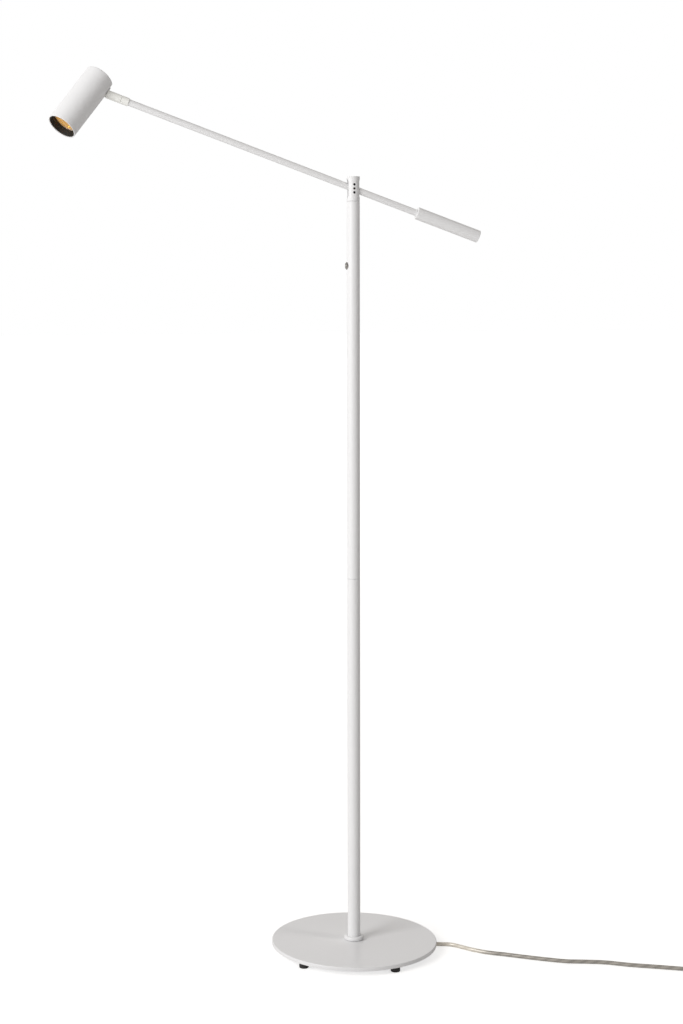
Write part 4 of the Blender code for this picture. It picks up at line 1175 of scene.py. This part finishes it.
def make_wrist():
    """The ivory sleeve that turns on the collar's stem, with the tongue that the spot tilts on."""
    edge = bpy.context.scene.lamp_sizes.paint_edge
    low = extent("wrist_sleeve", WRIST)[0]
    ring_low, ring_high = extent("wrist_ring", WRIST)
    radius, pocket = extent("wrist_collar", ARM)[1].z, ring_high.z + GAP
    room_end, shoulder, end = ring_high.x + 3 * GAP, ring_low.x - GAP, -SLEEVE_END
    bore = WRIST_STEM + GAP
    corners = [(0, room_end, 0), (pocket, room_end, 0), (pocket, shoulder, 0), (bore, shoulder, 0)]
    corners += [(bore, low.x, 0), (radius, low.x, edge), (radius, end, 0.5 * MM), (0, end, 0)]
    meet = 180 - math.degrees(math.asin(TONGUE_HEIGHT / (2 * EYE)))
    start, eye = end - 1.0 * MM, round_end((0, 0), EYE, -meet, meet, 48)
    outline = [(start, -TONGUE_HEIGHT / 2), *eye, (start, TONGUE_HEIGHT / 2)]
    tongue = slab(outline, -TONGUE_THICK / 2, TONGUE_THICK / 2)
    tongue.transform(Matrix.Rotation(math.pi / 2, 4, "X"))
    shape = carved(turned(corners, "X", FINE_SIDES), tongue, "UNION")
    bore_end = -EYE - 2.0 * MM
    shape = carved(shape, bar(2 * WIRE_BORE, room_end - 1.0 * MM, bore_end, "X"))
    low, high = (bore_end - 5.3 * MM, -1.2 * MM, -TONGUE_HEIGHT), (bore_end - GAP, 1.2 * MM, 0)
    shape = carved(shape, block(low, high))
    shape = carved(shape, bar(PIN_BORE, -TONGUE_THICK, TONGUE_THICK, "Y"))
    piece("ivory_sleeve", shape, WRIST, "wrist_paint", "wrist", "wrist_sleeve")


# ---- Spot ----

SLOT_LEAN = math.radians(8.5)  # of the arm from square to the light, where the side slot ends
BACK_ROUND = 2.2 * MM
BACK_WALL = 1.6 * MM
SPOT_EDGE = 0.35 * MM  # rounding of the front rim
REFLECTOR_WALL = 0.9 * MM
NARROW_END = 6.5 * MM  # radius of the reflector at the LED
BOWL_CURVE = 0.72  # below 1, the bowl opens fast and then straightens
BAFFLE_STEPS = 6
BAFFLE_LIP = 0.6 * MM  # depth of the baffle's smooth rim


def round_ended(width, start, end):
    """The outline of a slot along the first direction: square at start, round at end."""
    half = width / 2
    return [(start, -half), *round_end((end - half, 0), half, -90, 90), (start, half)]


def make_spot():
    """The painted housing, open to the front, with a slot over its side and back for the wrist."""
    sizes = bpy.context.scene.lamp_sizes
    low, high = extent("spot_housing", SPOT)
    radius, bore, back = high.x, high.x - sizes.spot_wall, high.z
    corners = [(0, back, 0), (radius, back, BACK_ROUND), (radius, low.z, SPOT_EDGE)]
    corners += [(bore, low.z, SPOT_EDGE)]
    corners += [(bore, back - BACK_WALL, BACK_ROUND - sizes.spot_wall), (0, back - BACK_WALL, 0)]
    width = sizes.spot_slot
    slot_end = width / 2 / math.cos(SLOT_LEAN) - radius * math.tan(SLOT_LEAN)
    deep = 2 * BACK_ROUND
    outside = -radius - CUT_OVER
    side = slab(round_ended(width, -back - CUT_OVER, slot_end), outside, deep - radius, "X")
    over = slab(round_ended(width, outside, width / 2), back - deep, back + CUT_OVER)
    shape = carved(carved(turned(corners, sides=WIDE_SIDES), side), over)
    piece("painted_spot", shape, SPOT, "paint", "spot", "spot_housing")

    low, high = extent("tilt_pin", SPOT)
    shape = bar(high.x - low.x, low.y, high.y, "Y", edge=0.4 * MM)
    piece("polished_tilt_pin", shape, SPOT, "steel", "spot", "tilt_pin")


def make_optics():
    """Black baffle, cover glass and faceted reflector."""
    sizes = bpy.context.scene.lamp_sizes
    low, high = extent("baffle", SPOT)
    wide = extent("reflector", SPOT)[1].x - REFLECTOR_WALL
    lip, edge = high.x - 0.9 * MM, 0.1 * MM
    corners = [(wide, high.z, 0), (high.x, high.z, edge), (high.x, low.z, edge)]
    corners += [(high.x - 0.3 * MM, low.z, edge)]
    start, depth = low.z + BAFFLE_LIP, high.z - low.z - BAFFLE_LIP
    for step in range(BAFFLE_STEPS):
        near, far = step / BAFFLE_STEPS, (step + 1) / BAFFLE_STEPS
        inner = lip + (wide - lip) * near
        corners += [(inner, start + depth * near, 0)]
        corners += [(inner, start + depth * (far - 0.25 / BAFFLE_STEPS), 0)]
    shape = turned(corners, sides=WIDE_SIDES)
    piece("stepped_baffle", shape, SPOT, "baffle", "spot", "baffle")

    low, high = extent("front_glass", SPOT)
    shape = turned(band(0, high.x, low.z, high.z, 0.3 * MM))
    piece("cover_glass", shape, SPOT, "glass", "spot", "front_glass")

    low, high = extent("reflector", SPOT)
    bowl = []
    for row in range(sizes.facet_rows + 1):
        share = row / sizes.facet_rows
        radius = NARROW_END + (wide - NARROW_END) * share**BOWL_CURVE
        bowl.append((radius, high.z + (low.z - high.z) * share))
    corners = [(r, z, 0) for r, z in bowl] + [(r + REFLECTOR_WALL, z, 0) for r, z in reversed(bowl)]
    shape = turned(corners, sides=sizes.facets_round)
    half_facet = Matrix.Rotation(math.pi / sizes.facets_round, 3, "Z")
    for row, (radius, height) in enumerate(bowl):
        if row % 2:
            ring = [
                vertex for vertex in shape.verts
                if abs(vertex.co.z - height) < 10 * MERGE
                and abs(vertex.co.xy.length - radius) < 10 * MERGE
            ]
            bmesh.ops.rotate(shape, cent=(0, 0, 0), matrix=half_facet, verts=ring)
    bmesh.ops.triangulate(shape, faces=shape.faces)
    piece("faceted_reflector", shape, SPOT, "gold", "spot", "reflector", sharp=1.0)


# ---- What stays as the frame has it, with finishes only ----


def finish_inner_parts():
    """Finishes for the plain inner parts, which are already the right shape."""
    repaint("zinc", "pole_stud", "stem_nut", "tilt_yoke")
    repaint("steel", "pole_foot", "pole_joiner", "stem_washer", "wrist_ring")
    repaint("brass", "swivel_bush", "hinge_bush")
    repaint("nylon", "friction_shoe")
    repaint("switch", "switch_body")
    repaint("board", "dimmer_board", "led_board")
    repaint("phosphor", "led")
    repaint("aluminium", "heat_sink")
    repaint("vinyl", "base_core", "lower_core", "upper_core", "arm_core")


# ---- Operators ----


class FLOORLAMP_OT_mains_lead(bpy.types.Operator):
    """Builds the mains lead, its coil, boot, tie and plug"""

    bl_idname = "floorlamp.mains_lead"
    bl_label = "Mains lead"

    def execute(self, context):
        make_mains_lead()
        return {"FINISHED"}


class FLOORLAMP_OT_base(bpy.types.Operator):
    """Builds the round base on its five feet"""

    bl_idname = "floorlamp.base"
    bl_label = "Base"

    def execute(self, context):
        make_base()
        return {"FINISHED"}


class FLOORLAMP_OT_pole(bpy.types.Operator):
    """Builds the two tubes of the pole"""

    bl_idname = "floorlamp.pole"
    bl_label = "Pole"

    def execute(self, context):
        make_pole()
        return {"FINISHED"}


class FLOORLAMP_OT_dimmer(bpy.types.Operator):
    """Builds the dimmer's ring and button"""

    bl_idname = "floorlamp.dimmer"
    bl_label = "Dimmer"

    def execute(self, context):
        make_dimmer()
        return {"FINISHED"}


class FLOORLAMP_OT_pivot(bpy.types.Operator):
    """Builds the slotted head on the pole and its screws"""

    bl_idname = "floorlamp.pivot"
    bl_label = "Pivot head"

    def execute(self, context):
        make_pivot()
        return {"FINISHED"}


class FLOORLAMP_OT_arm(bpy.types.Operator):
    """Builds the rod, the counterweight and the collar"""

    bl_idname = "floorlamp.arm"
    bl_label = "Arm"

    def execute(self, context):
        make_arm()
        return {"FINISHED"}


class FLOORLAMP_OT_wrist(bpy.types.Operator):
    """Builds the sleeve and its tongue"""

    bl_idname = "floorlamp.wrist"
    bl_label = "Wrist"

    def execute(self, context):
        make_wrist()
        return {"FINISHED"}


class FLOORLAMP_OT_spot(bpy.types.Operator):
    """Builds the spot's housing and its pin"""

    bl_idname = "floorlamp.spot"
    bl_label = "Spot"

    def execute(self, context):
        make_spot()
        return {"FINISHED"}


class FLOORLAMP_OT_optics(bpy.types.Operator):
    """Builds the baffle, the glass and the reflector"""

    bl_idname = "floorlamp.optics"
    bl_label = "Optics"

    def execute(self, context):
        make_optics()
        return {"FINISHED"}


class FLOORLAMP_OT_inner_parts(bpy.types.Operator):
    """Gives the inner parts their finishes"""

    bl_idname = "floorlamp.inner_parts"
    bl_label = "Inner parts"

    def execute(self, context):
        finish_inner_parts()
        return {"FINISHED"}


STEPS = (
    FLOORLAMP_OT_stage,
    FLOORLAMP_OT_mains_lead,
    FLOORLAMP_OT_base,
    FLOORLAMP_OT_pole,
    FLOORLAMP_OT_dimmer,
    FLOORLAMP_OT_pivot,
    FLOORLAMP_OT_arm,
    FLOORLAMP_OT_wrist,
    FLOORLAMP_OT_spot,
    FLOORLAMP_OT_optics,
    FLOORLAMP_OT_inner_parts,
)


class FLOORLAMP_PT_panel(bpy.types.Panel):
    """Sizes, colours and the steps of the floor lamp"""

    bl_idname = "FLOORLAMP_PT_panel"
    bl_label = "Floor Lamp"
    bl_space_type = "VIEW_3D"
    bl_region_type = "UI"
    bl_category = "Floor Lamp"

    def draw(self, context):
        layout = self.layout
        for group in (getattr(context.scene, name) for name in GROUPS):
            box = layout.box()
            for name in group.__annotations__:
                box.prop(group, name)
        for step in STEPS:
            layout.operator(step.bl_idname)


GROUPS = {"lamp_sizes": LampSizes, "lamp_colours": LampColours, "lamp_stage": LampStage}


def register():
    for group in GROUPS.values():
        bpy.utils.register_class(group)
    for name, group in GROUPS.items():
        setattr(bpy.types.Scene, name, PointerProperty(type=group))
    for made in (*STEPS, FLOORLAMP_PT_panel):
        bpy.utils.register_class(made)


def unregister():
    for made in reversed((*STEPS, FLOORLAMP_PT_panel)):
        bpy.utils.unregister_class(made)
    for name, group in GROUPS.items():
        delattr(bpy.types.Scene, name)
        bpy.utils.unregister_class(group)


def main():
    register()
    for step in STEPS:
        family, name = step.bl_idname.split(".")
        getattr(getattr(bpy.ops, family), name)()
    bpy.context.view_layer.update()


if __name__ == "__main__":
    main()
